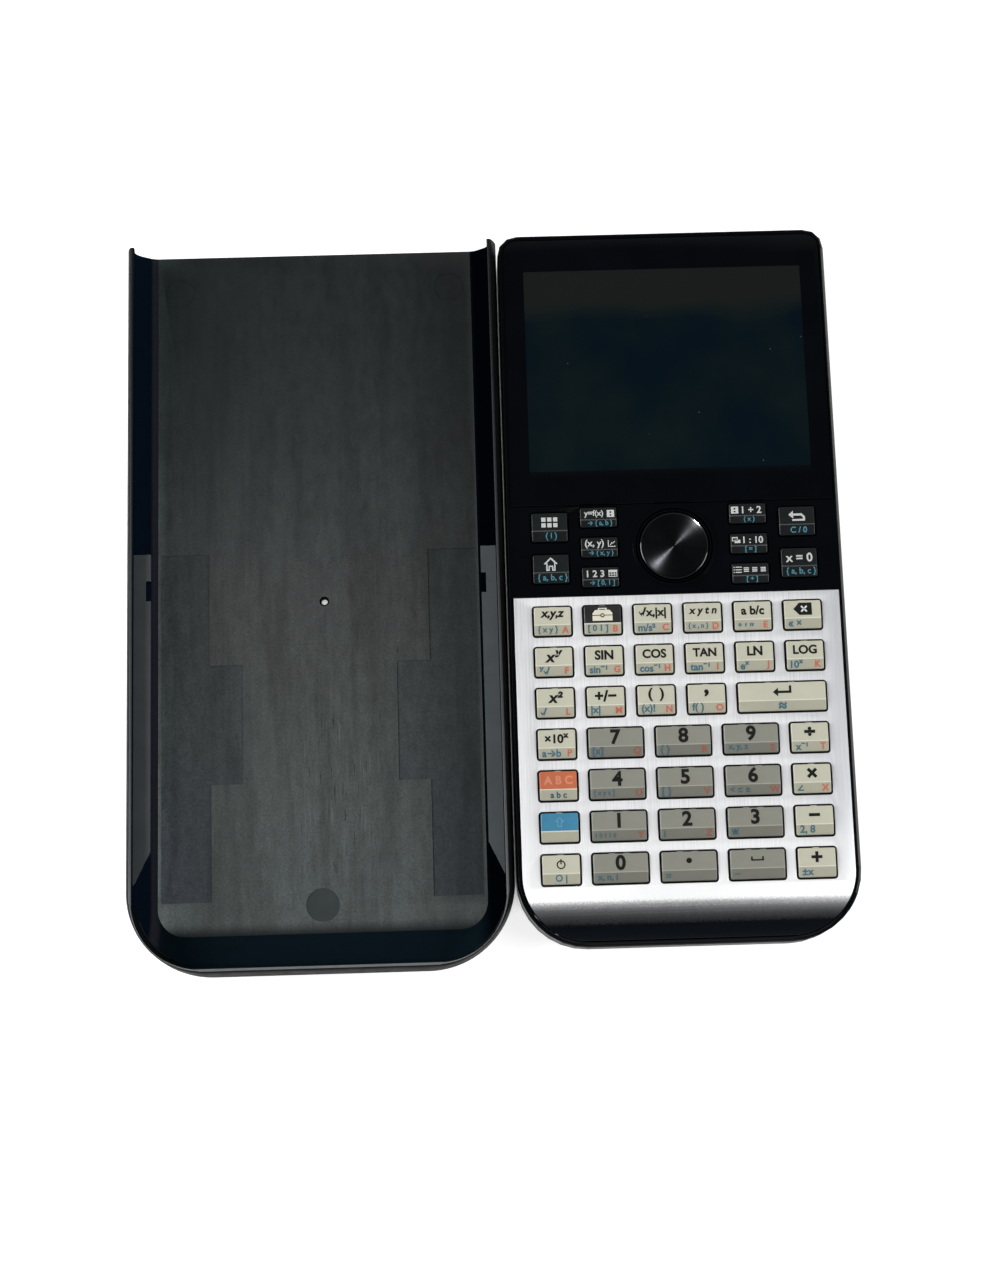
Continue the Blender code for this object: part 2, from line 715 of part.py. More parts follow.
def make_materials():
    return {
        "case": new_material("case_black", (0.012, 0.012, 0.014), 0.55),
        "frame": new_material("frame_black", (0.008, 0.009, 0.010), 0.22),
        "plate": new_material("plate_aluminium", (0.78, 0.79, 0.80), 0.32, metallic=1.0),
        "lens": new_material("lens_glass", (0.010, 0.012, 0.014), 0.05, transmission=0.6),
        "display": new_material("display_panel", (0.010, 0.014, 0.018), 0.20),
        "board": new_material("board_green", (0.02, 0.13, 0.06), 0.45),
        "mat": new_material("mat_silicone", (0.35, 0.36, 0.37), 0.70),
        "battery": new_material("battery_wrap", (0.05, 0.05, 0.06), 0.45),
        "screw": new_material("screw_steel", (0.55, 0.56, 0.57), 0.35, metallic=1.0),
        "pad": new_material("pad_metal", (0.16, 0.16, 0.17), 0.30, metallic=1.0),
        "cream_key": new_material("key_cream", (0.60, 0.58, 0.48), 0.45),
        "grey_key": new_material("key_grey", (0.25, 0.25, 0.21), 0.45),
        "black_key": new_material("key_black", (0.010, 0.010, 0.012), 0.25),
        "alpha": new_material("key_orange", (0.72, 0.18, 0.07), 0.45),
        "shift": new_material("key_blue", (0.06, 0.30, 0.52), 0.45),
        "cover": new_material("cover_black", (0.030, 0.034, 0.034), 0.60),
    }


clear_scene()
parts = new_collection("graphing_calculator")
cutters = new_collection("cutters")
calculator = new_empty("calculator_frame", CASE_PLACE)
cover = new_empty("cover_frame", COVER_PLACE)
finishes = make_materials()
make_rear_case(finishes["case"])
make_front_frame(finishes["frame"])
make_face_plate(finishes["plate"])
make_screen_lens(finishes["lens"])
make_battery_door(finishes["case"])
make_door_screw(finishes["screw"])
make_inside(finishes)
make_keys(finishes)
make_pad(finishes)
make_slide_cover(finishes["cover"])
bpy.context.view_layer.update()
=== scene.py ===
import math

import bmesh
import bpy
from mathutils import Matrix, Vector


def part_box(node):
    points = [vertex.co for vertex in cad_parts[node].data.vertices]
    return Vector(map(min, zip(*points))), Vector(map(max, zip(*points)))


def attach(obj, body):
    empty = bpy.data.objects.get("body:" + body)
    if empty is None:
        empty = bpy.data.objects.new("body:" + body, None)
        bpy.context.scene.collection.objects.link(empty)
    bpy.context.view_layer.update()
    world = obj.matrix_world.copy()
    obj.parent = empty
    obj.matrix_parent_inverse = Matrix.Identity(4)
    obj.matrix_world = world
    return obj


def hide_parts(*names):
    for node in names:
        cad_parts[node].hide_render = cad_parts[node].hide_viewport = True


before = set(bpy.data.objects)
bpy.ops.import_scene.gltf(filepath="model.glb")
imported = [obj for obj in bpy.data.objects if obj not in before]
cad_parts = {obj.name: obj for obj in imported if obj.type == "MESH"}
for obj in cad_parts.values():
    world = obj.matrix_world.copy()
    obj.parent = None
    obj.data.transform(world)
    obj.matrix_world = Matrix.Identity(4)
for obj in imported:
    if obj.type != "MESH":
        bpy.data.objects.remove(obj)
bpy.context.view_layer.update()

# A graphing calculator lying face up beside its slide cover. Shapes are worked in millimetres, in the
# calculator's frame (x = 0 on its centre line, y = 0 at its lower end) and in the cover's like frame.

MM = 0.001

case_low, case_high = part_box("rear_case")
cover_low, cover_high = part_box("slide_cover")
COVER_TAIL = 4.6
CASE_PLACE = Vector(((case_low.x + case_high.x) / 2, case_low.y, 0))
COVER_PLACE = Vector(((cover_low.x + cover_high.x) / 2, cover_low.y + COVER_TAIL * MM, 0))

# Housing and face
CASE_WIDTH = 84.6
CASE_LENGTH = 183.2
FACE_Z = 13.1
SKIN = 0.8
PLATE_INSET = 1.45
PLATE_TOP_Y = 87.0
LENS_LOW_Y = 110.8
END_RADIUS = 17.3
TOP_RADIUS = 5.0
ROLL_START_Y = 11.0
ROLL_RADIUS = 15.0
ROLL_STEPS = 22
BEAD_WIDTH = 0.75
WINDOW_X = 35.75
WINDOW_Y = (119.6, 173.2)
MERGE_DISTANCE = 0.002

# Keys
KEY_CLEARANCE = 0.45
KEY_CORNER = 0.4
TAB_REACH = 0.22
KEY_HEIGHT = 7.15
KEY_BEVEL = 0.28
RIDGE_SHARE = 0.37
RIDGE_HALF = 0.13
STRIP_DROP = 0.45
LEGEND_LIFT = 0.025
MARK_ROOM = 5.0

# Pad
NAV_PLACE = CASE_PLACE + Vector((0, 99.4 * MM, 0))
PAD_RADIUS = 8.7

# Cover
COVER_HALF_WIDTH = 47.8
COVER_LENGTH = 184.0
COVER_LEAN = 0.148
COVER_CORNER = 21.5
FLOOR_CORNER = 7.0
FLOOR_Z = 1.75
FLOOR_INSET = 6.8
PATCH_DEPTH = 0.16
SPOT_DEPTH = 0.12
RAIL_Z = (8.8, 10.7)
HOLE = (1.4, 90.1)
CUT_TOP = 6.0
# The cover's wall from its foot over its crest to the floor: (inset at the sides, inset at the end, z)
COVER_SECTION = (
    (8.2, 11.5, 0.0), (5.0, 6.6, 0.7), (2.4, 3.0, 2.6), (0.6, 0.8, 5.4), (0.0, 0.0, 8.0), (0.3, 0.2, 11.0),
    (1.0, 0.6, 14.0), (1.5, 1.0, 15.2), (1.9, 1.4, 15.5), (2.3, 1.8, 15.2), (2.4, 2.1, 14.4),
    (2.1, 2.1, 12.0), (1.8, 2.2, 9.0), (2.6, 3.3, 6.2), (4.4, 6.4, 3.6), (5.6, 8.4, 2.3),
    (6.8, 10.4, FLOOR_Z),
)


def adjusted(made, **settings):
    """What was just made, with its properties set."""
    for key, value in settings.items():
        setattr(made, key, value)
    return made


# Node materials


def fill(socket, value):
    """Sets an input, or joins it to another node's output. Colours are opaque."""
    if isinstance(value, bpy.types.NodeSocket):
        value.id_data.links.new(value, socket)
    else:
        socket.default_value = (*value, 1.0) if socket.type == "RGBA" else value


def node(kind, links, tree=None, **settings):
    """A node with its properties set and its inputs filled, in the tree of what it is joined to."""
    if tree is None:
        tree = next(value.id_data for value in links.values() if isinstance(value, bpy.types.NodeSocket))
    made = adjusted(tree.nodes.new(kind), **settings)
    for key, value in links.items():
        fill(made.inputs[key], value)
    return made


def grey(value):
    return (value, value, value)


def coordinates(tree, scale=(1, 1, 1)):
    """The piece's own coordinates in millimetres, stretched by scale."""
    source = node("ShaderNodeTexCoord", {}, tree)
    factors = tuple(value / MM for value in scale)
    return node("ShaderNodeMapping", {"Vector": source.outputs["Object"], "Scale": factors}).outputs[0]


def new_material(name):
    """A material, and the coordinates in its node tree."""
    material = bpy.data.materials.new(name)
    material.use_nodes = True
    return material, coordinates(material.node_tree)


def finished(material, **sockets):
    """The material once its shader's sockets are filled."""
    shader = material.node_tree.nodes["Principled BSDF"]
    for name, value in sockets.items():
        fill(shader.inputs[name.replace("_", " ")], value)
    return material


def noise(scale, vector, detail=3.0, rough=0.5):
    links = {"Vector": vector, "Scale": scale, "Detail": detail, "Roughness": rough}
    return node("ShaderNodeTexNoise", links).outputs["Fac"]


def stretched(where, scale, detail, rough=0.5):
    """Noise drawn out along the axes whose scale is small."""
    return noise(1.0, coordinates(where.id_data, scale), detail, rough)


def ramp(factor, stops):
    """A colour ramp through (position, colour) stops."""
    made = node("ShaderNodeValToRGB", {"Fac": factor})
    elements = made.color_ramp.elements
    while len(elements) < len(stops):
        elements.new(0.5)
    for element, (position, colour) in zip(elements, stops):
        element.position = position
        element.color = (*colour, 1.0)
    return made.outputs["Color"]


def grey_ramp(factor, *stops):
    return ramp(factor, [(position, grey(value)) for position, value in stops])


def spread(factor, low, high, out_low=0.0, out_high=1.0):
    """Maps a range of factor to another range, clamped."""
    links = {"Value": factor, "From Min": low, "From Max": high, "To Min": out_low, "To Max": out_high}
    return node("ShaderNodeMapRange", links).outputs["Result"]


def mix(factor, first, second, blend="MIX"):
    links = {0: factor, 6: first, 7: second}
    return node("ShaderNodeMix", links, data_type="RGBA", blend_type=blend).outputs[2]


def maths(operation, first, second=0.0):
    return node("ShaderNodeMath", {0: first, 1: second}, operation=operation).outputs[0]


def product(first, second):
    return maths("MULTIPLY", first, second)


def split_axes(vector):
    return node("ShaderNodeSeparateXYZ", {"Vector": vector}).outputs


def bump(height, distance, strength=1.0, under=None):
    links = {"Height": height, "Distance": distance, "Strength": strength}
    if under is not None:
        links["Normal"] = under
    return node("ShaderNodeBump", links).outputs["Normal"]


def tones(text):
    """Colour stops written as "millimetres red green blue; ..."."""
    rows = [[float(value) for value in stop.split()] for stop in text.split(";")]
    return [(at, colour) for at, *colour in rows]


def specks(vector, scale, size):
    """Sparse dust: a small dot in some of the cells of a Voronoi pattern."""
    cells = node("ShaderNodeTexVoronoi", {"Vector": vector, "Scale": scale, "Randomness": 1.0})
    dots = maths("LESS_THAN", cells.outputs["Distance"], size)
    chosen = node("ShaderNodeSeparateColor", {"Color": cells.outputs["Color"]}).outputs[0]
    return product(dots, maths("GREATER_THAN", chosen, 0.72))


def plastic(name, colour, rough, grain=4.0, depth=0.006, mottle=0.12, dust=None, gleam=0.5):
    """Moulded plastic: fine grain, slow colour and gloss changes, and dust as (cells per mm, size)."""
    material, where = new_material(name)
    fine = noise(grain, where, 2.0)
    broad = noise(0.09, where, 4.0, 0.6)
    darker = [c * (1 - mottle) for c in colour]
    lighter = [min(1.0, c * (1 + mottle)) for c in colour]
    tone = mix(spread(broad, 0.3, 0.7), darker, lighter)
    if dust:
        tone = mix(specks(where, *dust), tone, grey(0.35))
    gloss = spread(noise(0.35, where, 5.0, 0.65), 0.3, 0.75, rough * 0.85, rough * 1.2)
    return finished(material, Base_Color=tone, Roughness=gloss, Specular_IOR_Level=gleam,
                    Normal=bump(fine, depth * MM))


def graded_plastic(name, axis, text, rough, gleam, dust=None):
    """Plastic whose colour runs along one of the piece's axes, through the tones in text."""
    material, where = new_material(name)
    stops = tones(text)
    low, high = stops[0][0], stops[-1][0]
    share = spread(split_axes(where)[axis], low, high)
    tone = ramp(share, [((at - low) / (high - low), colour) for at, colour in stops])
    uneven = noise(0.5, where, 5.0, 0.65)
    tone = mix(1.0, tone, spread(uneven, 0.3, 0.7, 0.9, 1.1), "MULTIPLY")
    if dust:
        tone = mix(specks(where, *dust), tone, grey(0.35))
    return finished(material, Base_Color=tone, Roughness=spread(uneven, 0.3, 0.7, rough * 0.9, rough * 1.15),
                    Specular_IOR_Level=gleam, Normal=bump(noise(3.0, where, 2.0), 0.004 * MM))


def brushed_plate(name):
    """Satin aluminium with its grain along the length, with painted shade towards its right side, a painted
    highlight over its lower part, and painted shade with a speckled edge where the end rolls down.
    """
    material, where = new_material(name)
    fine = stretched(where, (9.0, 0.1, 1.0), 3.0, 0.65)
    medium = stretched(where, (2.2, 0.03, 1.0), 3.0, 0.6)
    broad = stretched(where, (0.25, 0.02, 1.0), 2.0)
    lines = mix(0.45, grey_ramp(fine, (0.32, 0), (0.68, 1)), grey_ramp(medium, (0.3, 0), (0.7, 1)))
    metal = ramp(lines, ((0.0, (0.6, 0.6, 0.61)), (0.55, (0.8, 0.8, 0.81)), (1.0, grey(0.93))))
    metal = mix(spread(broad, 0.35, 0.65, 0.0, 0.25), metal, (0.97, 0.97, 0.98))
    split = split_axes(where)
    # Painted shade: the metal turns bluish grey towards the right side.
    metal = mix(spread(split["X"], 20.0, 41.0, 0.0, 0.6), metal, (0.56, 0.57, 0.6))
    # Painted highlight: the metal turns paler towards the lower part.
    metal = mix(spread(split["Y"], 34.0, 13.0, 0.0, 0.85), metal, (0.98, 0.98, 0.98))
    # Painted shade where the end rolls down: past a speckled edge the metal turns near black, a painted dark
    # reflection.
    speckle = noise(3.2, coordinates(where.id_data, (1.0, 0.8, 1.0)), 4.0, 0.75)
    reach = maths("ADD", split["Y"], spread(speckle, 0.2, 0.8, -0.8, 0.8))
    kept = grey_ramp(spread(reach, 5.0, 11.0), (0, 0), (0.08, 0.03), (0.25, 0.075), (0.37, 0.105),
                     (0.65, 0.22), (0.84, 0.45), (1, 1))
    tone = mix(kept, (0.008, 0.01, 0.014), metal)
    rough = spread(lines, 0.0, 1.0, 0.46, 0.34)
    return finished(material, Base_Color=tone, Roughness=rough, Metallic=spread(kept, 0.0, 1.0, 1.0, 0.55),
                    Anisotropic=0.6, Normal=bump(lines, 0.004 * MM, 0.6))


def turned_metal(name):
    """Dark metal turned on a lathe: fine rings round the centre."""
    material, where = new_material(name)
    split = split_axes(where)
    flat = node("ShaderNodeCombineXYZ", {"X": split["X"], "Y": split["Y"]})
    radius = node("ShaderNodeVectorMath", {0: flat.outputs[0]}, operation="LENGTH").outputs["Value"]
    along = node("ShaderNodeCombineXYZ", {"X": radius}).outputs[0]
    rings = noise(14.0, along, 2.0, 0.7)
    wide = noise(2.5, along, 2.0)
    tone = ramp(mix(0.4, rings, wide), ((0.3, (0.022, 0.025, 0.028)), (0.7, (0.062, 0.065, 0.07))))
    tangent = node("ShaderNodeTangent", {}, where.id_data, direction_type="RADIAL", axis="Z").outputs[0]
    return finished(material, Base_Color=tone, Metallic=1.0, Tangent=tangent,
                    Anisotropic=0.93, Anisotropic_Rotation=0.25,
                    Roughness=spread(rings, 0.3, 0.7, 0.11, 0.15), Normal=bump(rings, 0.0015 * MM, 0.4))


def side_light(across):
    """How much paler the cover's floor is beside its left wall, and darker beside its right one."""
    near = spread(across, -29.5, -40.8)
    left = maths("ADD", 1.0, product(2.4, maths("POWER", near, 2.0)))
    return product(left, spread(across, 20.0, 31.0, 1.0, 0.74))


def cover_plastic(name, text, wear):
    """The cover's inside: satin plastic, paler towards its low end, with painted light that makes it paler
    beside its left wall and painted shade that makes it darker beside its right one, smeared, nicked and
    scratched.
    """
    material, where = new_material(name)
    split = split_axes(where)
    height = split["Y"]
    share = maths("DIVIDE", height, COVER_LENGTH)
    tone = ramp(share, [(y / COVER_LENGTH, colour) for y, colour in tones(text)])
    tone = mix(1.0, tone, side_light(split["X"]), "MULTIPLY")
    grain = spread(noise(1.7, where, 3.0, 0.7), 0.25, 0.75, 0.66, 1.34)
    mottle = spread(noise(0.45, coordinates(where.id_data, (1.0, 0.5, 1.0)), 5.0, 0.65), 0.3, 0.7, 0.84, 1.16)
    smears = spread(stretched(where, (0.8, 0.03, 1.0), 3.0, 0.6), 0.3, 0.7, 0.95, 1.05)
    bands = spread(stretched(where, (0.16, 0.016, 1.0), 3.0, 0.6), 0.36, 0.52, 0.74, 1.04)
    factor = product(product(grain, mottle), product(smears, bands))
    tone = mix(1.0, tone, factor, "MULTIPLY")
    across = maths("ABSOLUTE", maths("SUBTRACT", split["X"], 4.0))
    along = maths("ABSOLUTE", maths("SUBTRACT", height, 45.0))
    centre = product(spread(across, 15.0, 7.0), spread(along, 30.0, 14.0))
    scratches = stretched(where, (3.0, 0.1, 1.0), 2.0)
    marks = product(spread(scratches, 0.62, 0.72), centre)
    pale = mix(product(marks, wear), tone, (0.13, 0.14, 0.135))
    dents = stretched(where, (2.4, 0.16, 1.0), 2.0)
    cuts = product(spread(dents, 0.64, 0.7), centre)
    nicks = specks(coordinates(where.id_data, (1.0, 0.3, 1.0)), 0.2, 0.045)
    dark = maths("MAXIMUM", product(cuts, 0.8), product(nicks, 0.6))
    tone = mix(dark, pale, (0.008, 0.009, 0.009))
    tone = mix(specks(where, 0.1, 0.014), tone, grey(0.3))
    fine = noise(4.5, where, 3.0)
    grooves = bump(maths("SUBTRACT", 1.0, cuts), 0.03 * MM, 0.7)
    return finished(material, Base_Color=tone, Roughness=spread(mottle, 0.84, 1.16, 0.5, 0.66),
                    Specular_IOR_Level=0.25, Normal=bump(fine, 0.012 * MM, 1.0, grooves))


def smoked_tone(where, share):
    """Near-black blue-green, paler towards the display's top in a painted reflection, with a few dust specks.
    """
    split = split_axes(where)
    wander = spread(noise(0.035, where, 2.0), 0.2, 0.8, -3.0, 3.0)
    height = maths("ADD", split["Y"], wander)
    deep, green, pale = ([share * c for c in colour] for colour in
                         ((0.0014, 0.007, 0.0125), (0.005, 0.0115, 0.013), (0.012, 0.0148, 0.0135)))
    base = mix(spread(noise(0.05, where, 3.0), 0.38, 0.66), deep, green)
    # Painted reflection: a band in the colour pale towards the display's top.
    painted_top_reflection = mix(spread(height, 159.5, 164.5), base, pale)
    return mix(specks(where, 0.25, 0.03), painted_top_reflection, grey(0.12))


def display_surface(name):
    """An unlit display."""
    material, where = new_material(name)
    return finished(material, Base_Color=smoked_tone(where, 1.0), Roughness=0.5, Specular_IOR_Level=0.15,
                    Normal=bump(noise(6.0, where), 0.001 * MM))


def glass_window(name):
    """The smoked part of the lens, which lets a little of the display beneath show through."""
    material, where = new_material(name)
    smudge = noise(0.08, where, 4.0, 0.6)
    return finished(material, Base_Color=smoked_tone(where, 0.75), Alpha=0.8, Specular_IOR_Level=0.3,
                    Roughness=spread(smudge, 0.3, 0.7, 0.04, 0.1))


def circuit_board(name):
    material, where = new_material(name)
    bricks = node("ShaderNodeTexBrick", {
        "Vector": where, "Scale": 0.25, "Mortar Size": 0.04, "Color1": (0.01, 0.09, 0.035),
        "Color2": (0.014, 0.12, 0.045), "Mortar": (0.04, 0.22, 0.09)})
    grain = noise(3.0, where)
    return finished(material, Base_Color=bricks.outputs["Color"], Roughness=spread(grain, 0.3, 0.7, 0.3, 0.5),
                    Normal=bump(bricks.outputs["Fac"], 0.03 * MM))


def brushed_steel(name):
    material, where = new_material(name)
    rings = noise(6.0, coordinates(where.id_data, (1.0, 0.2, 1.0)), 3.0)
    return finished(material, Base_Color=grey_ramp(rings, (0.3, 0.32), (0.7, 0.55)), Metallic=1.0,
                    Roughness=spread(rings, 0.3, 0.7, 0.25, 0.42), Normal=bump(rings, 0.003 * MM))


# Outlines in millimetres


def arc(centre, radius, start, steps, turn=90.0):
    angles = [math.radians(start + turn * i / steps) for i in range(steps + 1)]
    return [(centre[0] + radius * math.cos(a), centre[1] + radius * math.sin(a)) for a in angles]


def rounded(x_range, y_range, radius, steps=6):
    (x0, x1), (y0, y1) = x_range, y_range
    return (
        arc((x1 - radius, y0 + radius), radius, -90, steps)
        + arc((x1 - radius, y1 - radius), radius, 0, steps)
        + arc((x0 + radius, y1 - radius), radius, 90, steps)
        + arc((x0 + radius, y0 + radius), radius, 180, steps)
    )


def shape(text):
    """An outline written as "x,y x,y ...", with its corners in order."""
    return [tuple(float(value) for value in corner.split(",")) for corner in text.split()]


def rectangle(x0, y0, x1, y1):
    return [(x0, y0), (x1, y0), (x1, y1), (x0, y1)]


def around(middle, half):
    return (middle - half, middle + half)


def disc(x, y, radius, sides=24):
    return arc((x, y), radius, 0, sides, 360.0)[:-1]


def corner_of(x, y):
    """For a point in one of the housing's corners: the corner's radius, and the point from its centre."""
    for radius, along in ((END_RADIUS, END_RADIUS - y), (TOP_RADIUS, y - CASE_LENGTH + TOP_RADIUS)):
        across = abs(x) - (CASE_WIDTH / 2 - radius)
        if across > 0 and along > 0:
            return radius, across, along
    return None


def rim_inset(x, y):
    """How far a point lies inside the housing's outline, seen from above."""
    corner = corner_of(x, y)
    if corner:
        return corner[0] - math.hypot(*corner[1:])
    return min(CASE_WIDTH / 2 - abs(x), y, CASE_LENGTH - y)


def outward(x, y):
    """The direction from a point near the housing's outline straight out of it."""
    corner = corner_of(x, y)
    end = 1.0 if y > CASE_LENGTH / 2 else -1.0
    if corner:
        return Vector((math.copysign(corner[1], x), end * corner[2], 0)).normalized()
    if CASE_WIDTH / 2 - abs(x) < min(y, CASE_LENGTH - y):
        return Vector((math.copysign(1.0, x), 0, 0))
    return Vector((0, end, 0))


def case_outline(inset, low_y=0.0, high_y=CASE_LENGTH):
    """The housing from above, drawn in by inset, and cut square at low_y or high_y inside its ends."""
    half = CASE_WIDTH / 2 - inset
    outline = []
    if low_y <= 0:
        radius = END_RADIUS - inset
        outline += arc((half - radius, inset + radius), radius, -90, 28)
    else:
        outline.append((half, low_y))
    if high_y >= CASE_LENGTH:
        radius = TOP_RADIUS - inset
        outline += arc((half - radius, CASE_LENGTH - inset - radius), radius, 0, 10)
    else:
        outline.append((half, high_y))
    return outline + [(-x, y) for x, y in reversed(outline)]


# Meshes


def link(obj):
    bpy.context.scene.collection.objects.link(obj)
    return obj


def holder_for(mesh):
    """A passing object, for what only works on objects."""
    return link(bpy.data.objects.new("holder", mesh))


def opened(mesh):
    work = bmesh.new()
    work.from_mesh(mesh)
    return work


def closed(work, mesh):
    """Writes what opened gave back to a mesh, or to a new one of the given name."""
    if isinstance(mesh, str):
        mesh = bpy.data.meshes.new(mesh)
    work.to_mesh(mesh)
    work.free()
    return mesh


def join_rings(work, rings, sides, count=None):
    """Faces between each ring of vertices and the next, where a ring of one vertex is a point."""
    for first, second in zip(rings, rings[1:]):
        for i in range(count or sides):
            j = (i + 1) % sides
            corners = [ring[k % len(ring)] for ring, k in ((first, i), (first, j), (second, j), (second, i))]
            work.faces.new(list(dict.fromkeys(corners)))


def baked(holder):
    """A passing object's final mesh."""
    bpy.context.view_layer.update()
    mesh = bpy.data.meshes.new_from_object(holder.evaluated_get(bpy.context.evaluated_depsgraph_get()))
    bpy.data.objects.remove(holder, do_unlink=True)
    return mesh


def curve_mesh(curve):
    """The mesh of a curve or text, which is dropped once it is made."""
    mesh = baked(holder_for(curve))
    bpy.data.curves.remove(curve)
    return mesh


def sheet_mesh(outlines, z_range, bevel=0.0):
    """A flat piece with holes and rounded edges, in millimetres."""
    curve = adjusted(bpy.data.curves.new("sheet", "CURVE"), dimensions="2D", fill_mode="BOTH",
                     extrude=(z_range[1] - z_range[0]) / 2 - bevel, bevel_depth=bevel, bevel_resolution=2,
                     offset=-bevel)
    for outline in outlines:
        spline = curve.splines.new("POLY")
        spline.points.add(len(outline) - 1)
        for point, (x, y) in zip(spline.points, outline):
            point.co = (x, y, 0, 1)
        spline.use_cyclic_u = True
    mesh = curve_mesh(curve)
    work = opened(mesh)
    bmesh.ops.remove_doubles(work, verts=work.verts, dist=MERGE_DISTANCE)
    bmesh.ops.translate(work, verts=work.verts, vec=(0, 0, (z_range[0] + z_range[1]) / 2))
    return closed(work, mesh)


def text_mesh(text, bold=0.0, lean=0.0):
    """Generic marks as flat letters about one unit high, centred on the origin."""
    return curve_mesh(adjusted(bpy.data.curves.new("mark", "FONT"), body=text, size=1.0, offset=bold,
                               shear=lean, resolution_u=4, align_x="CENTER", extrude=0.005))


def put_piece(name, mesh, slot, materials, replaced=(), smooth=30, body="calculator", place=CASE_PLACE):
    """Finishes a mesh worked in millimetres as a named piece that moves with a body."""
    mesh.transform(Matrix.Scale(MM, 4))
    mesh.name = name
    for index, material in enumerate(materials):
        if index < len(mesh.materials):
            mesh.materials[index] = material
        else:
            mesh.materials.append(material)
    mesh.shade_smooth()
    mesh.set_sharp_from_angle(angle=math.radians(smooth))
    obj = adjusted(bpy.data.objects.new(name, mesh), location=place)
    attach(link(obj), body)
    if replaced:
        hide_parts(*replaced)
    return obj


def weigh_normals(obj):
    adjusted(obj.modifiers.new("weighted", "WEIGHTED_NORMAL"), keep_sharp=True)


def softened_copy(node_name, width, angle, prepare=None):
    """A CAD node's mesh in the calculator's frame, its flats merged and its sharp edges rounded."""
    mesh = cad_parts[node_name].data.copy()
    mesh.materials.clear()
    mesh.transform(Matrix.Translation(-CASE_PLACE))
    mesh.transform(Matrix.Scale(1 / MM, 4))
    work = opened(mesh)
    bmesh.ops.remove_doubles(work, verts=work.verts, dist=MERGE_DISTANCE)
    bmesh.ops.dissolve_limit(work, angle_limit=math.radians(0.6), verts=work.verts, edges=work.edges)
    closed(work, mesh)
    if prepare:
        prepare(mesh)
    holder = holder_for(mesh)
    adjusted(holder.modifiers.new("soften", "BEVEL"), width=width, segments=2, limit_method="ANGLE",
             angle_limit=math.radians(angle))
    return baked(holder)


# Face


def roll_drop(y):
    run = max(0.0, ROLL_START_Y - y)
    return ROLL_RADIUS - math.sqrt(ROLL_RADIUS**2 - run**2)


def slice_lengthwise(work, lines):
    """Cuts every face along the given y lines."""
    for y in lines:
        everything = work.verts[:] + work.edges[:] + work.faces[:]
        bmesh.ops.bisect_plane(work, geom=everything, dist=1e-5, plane_co=(0, y, 0), plane_no=(0, 1, 0))


def make_plate(openings):
    outline = case_outline(PLATE_INSET, 0.0, PLATE_TOP_Y)
    mesh = sheet_mesh([outline] + openings, (FACE_Z - SKIN, FACE_Z), 0.12)
    work = opened(mesh)
    slice_lengthwise(work, [ROLL_START_Y * (1 - i / ROLL_STEPS) for i in range(ROLL_STEPS)])
    for vert in work.verts:
        vert.co.z -= roll_drop(vert.co.y)
    closed(work, mesh)
    # The plate's cut walls round the key openings and along its outline get a near-black finish: painted
    # shade in the gaps beside the keys and the frame.
    for polygon in mesh.polygons:
        if abs(polygon.normal.z) < 0.45:
            polygon.material_index = 1
    edge = plastic("plate_edge_painted_shade", (0.01, 0.01, 0.01), 0.4, 4.0, 0.004)
    finish = [brushed_plate("plate_brushed"), edge]
    put_piece("plate_skin", mesh, "plate_aluminium", finish, ["face_plate"], 20)


def make_lens():
    """The lens: a printed black border as one ring and the clear window inside it."""
    outline = case_outline(PLATE_INSET, LENS_LOW_Y)
    window = rounded((-WINDOW_X, WINDOW_X), WINDOW_Y, 0.4)
    border = plastic("lens_border", (0.0006, 0.0011, 0.002), 0.06, 1.5, 0.0004, 0.3, (0.12, 0.014), 0.3)
    ring = sheet_mesh([outline, window], (FACE_Z - SKIN, FACE_Z), 0.1)
    put_piece("lens_border", ring, "lens_glass", [border], ["screen_lens"], 20)
    clear = sheet_mesh([window], (FACE_Z - SKIN, FACE_Z - 0.004))
    put_piece("lens_window", clear, "lens_glass", [glass_window("lens_window")])


def make_display():
    """The display module: a shallow metal tray with the panel standing just proud of its rim."""
    low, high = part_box("lcd_module")
    x_range = ((low.x - CASE_PLACE.x) / MM, (high.x - CASE_PLACE.x) / MM)
    y_range = ((low.y - CASE_PLACE.y) / MM, (high.y - CASE_PLACE.y) / MM)
    z_range = (low.z / MM, high.z / MM - 0.5)
    tray = sheet_mesh([rounded(x_range, y_range, 0.8)], z_range, 0.2)
    put_piece("display_tray", tray, "display_panel", [brushed_steel("tray_steel")], ["lcd_module"])
    panel_x = (x_range[0] + 0.9, x_range[1] - 0.9)
    panel_y = (y_range[0] + 0.9, y_range[1] - 0.9)
    panel = sheet_mesh([rounded(panel_x, panel_y, 0.4)], (z_range[1] - 0.1, high.z / MM), 0.08)
    put_piece("display_panel", panel, "display_panel", [display_surface("display_dark")])


def round_outer_edge(mesh):
    """Stands the frame's flank upright and rounds its upper edge to a bead round the plate and the lens."""
    for vert in mesh.vertices:
        inset = rim_inset(vert.co.x, vert.co.y)
        if 0.02 < inset < 0.6:
            vert.co += outward(vert.co.x, vert.co.y) * (inset - 0.02)
    work = opened(mesh)
    edges = []
    for edge in work.edges:
        if len(edge.link_faces) == 2 and edge.calc_face_angle() > math.radians(38):
            middle = (edge.verts[0].co + edge.verts[1].co) / 2
            top = FACE_Z - roll_drop(middle.y)
            if rim_inset(middle.x, middle.y) < 0.6 and abs(middle.z - top) < 0.35:
                edges.append(edge)
    bmesh.ops.bevel(work, geom=edges, offset=BEAD_WIDTH, segments=5, profile=0.5, affect="EDGES")
    closed(work, mesh)


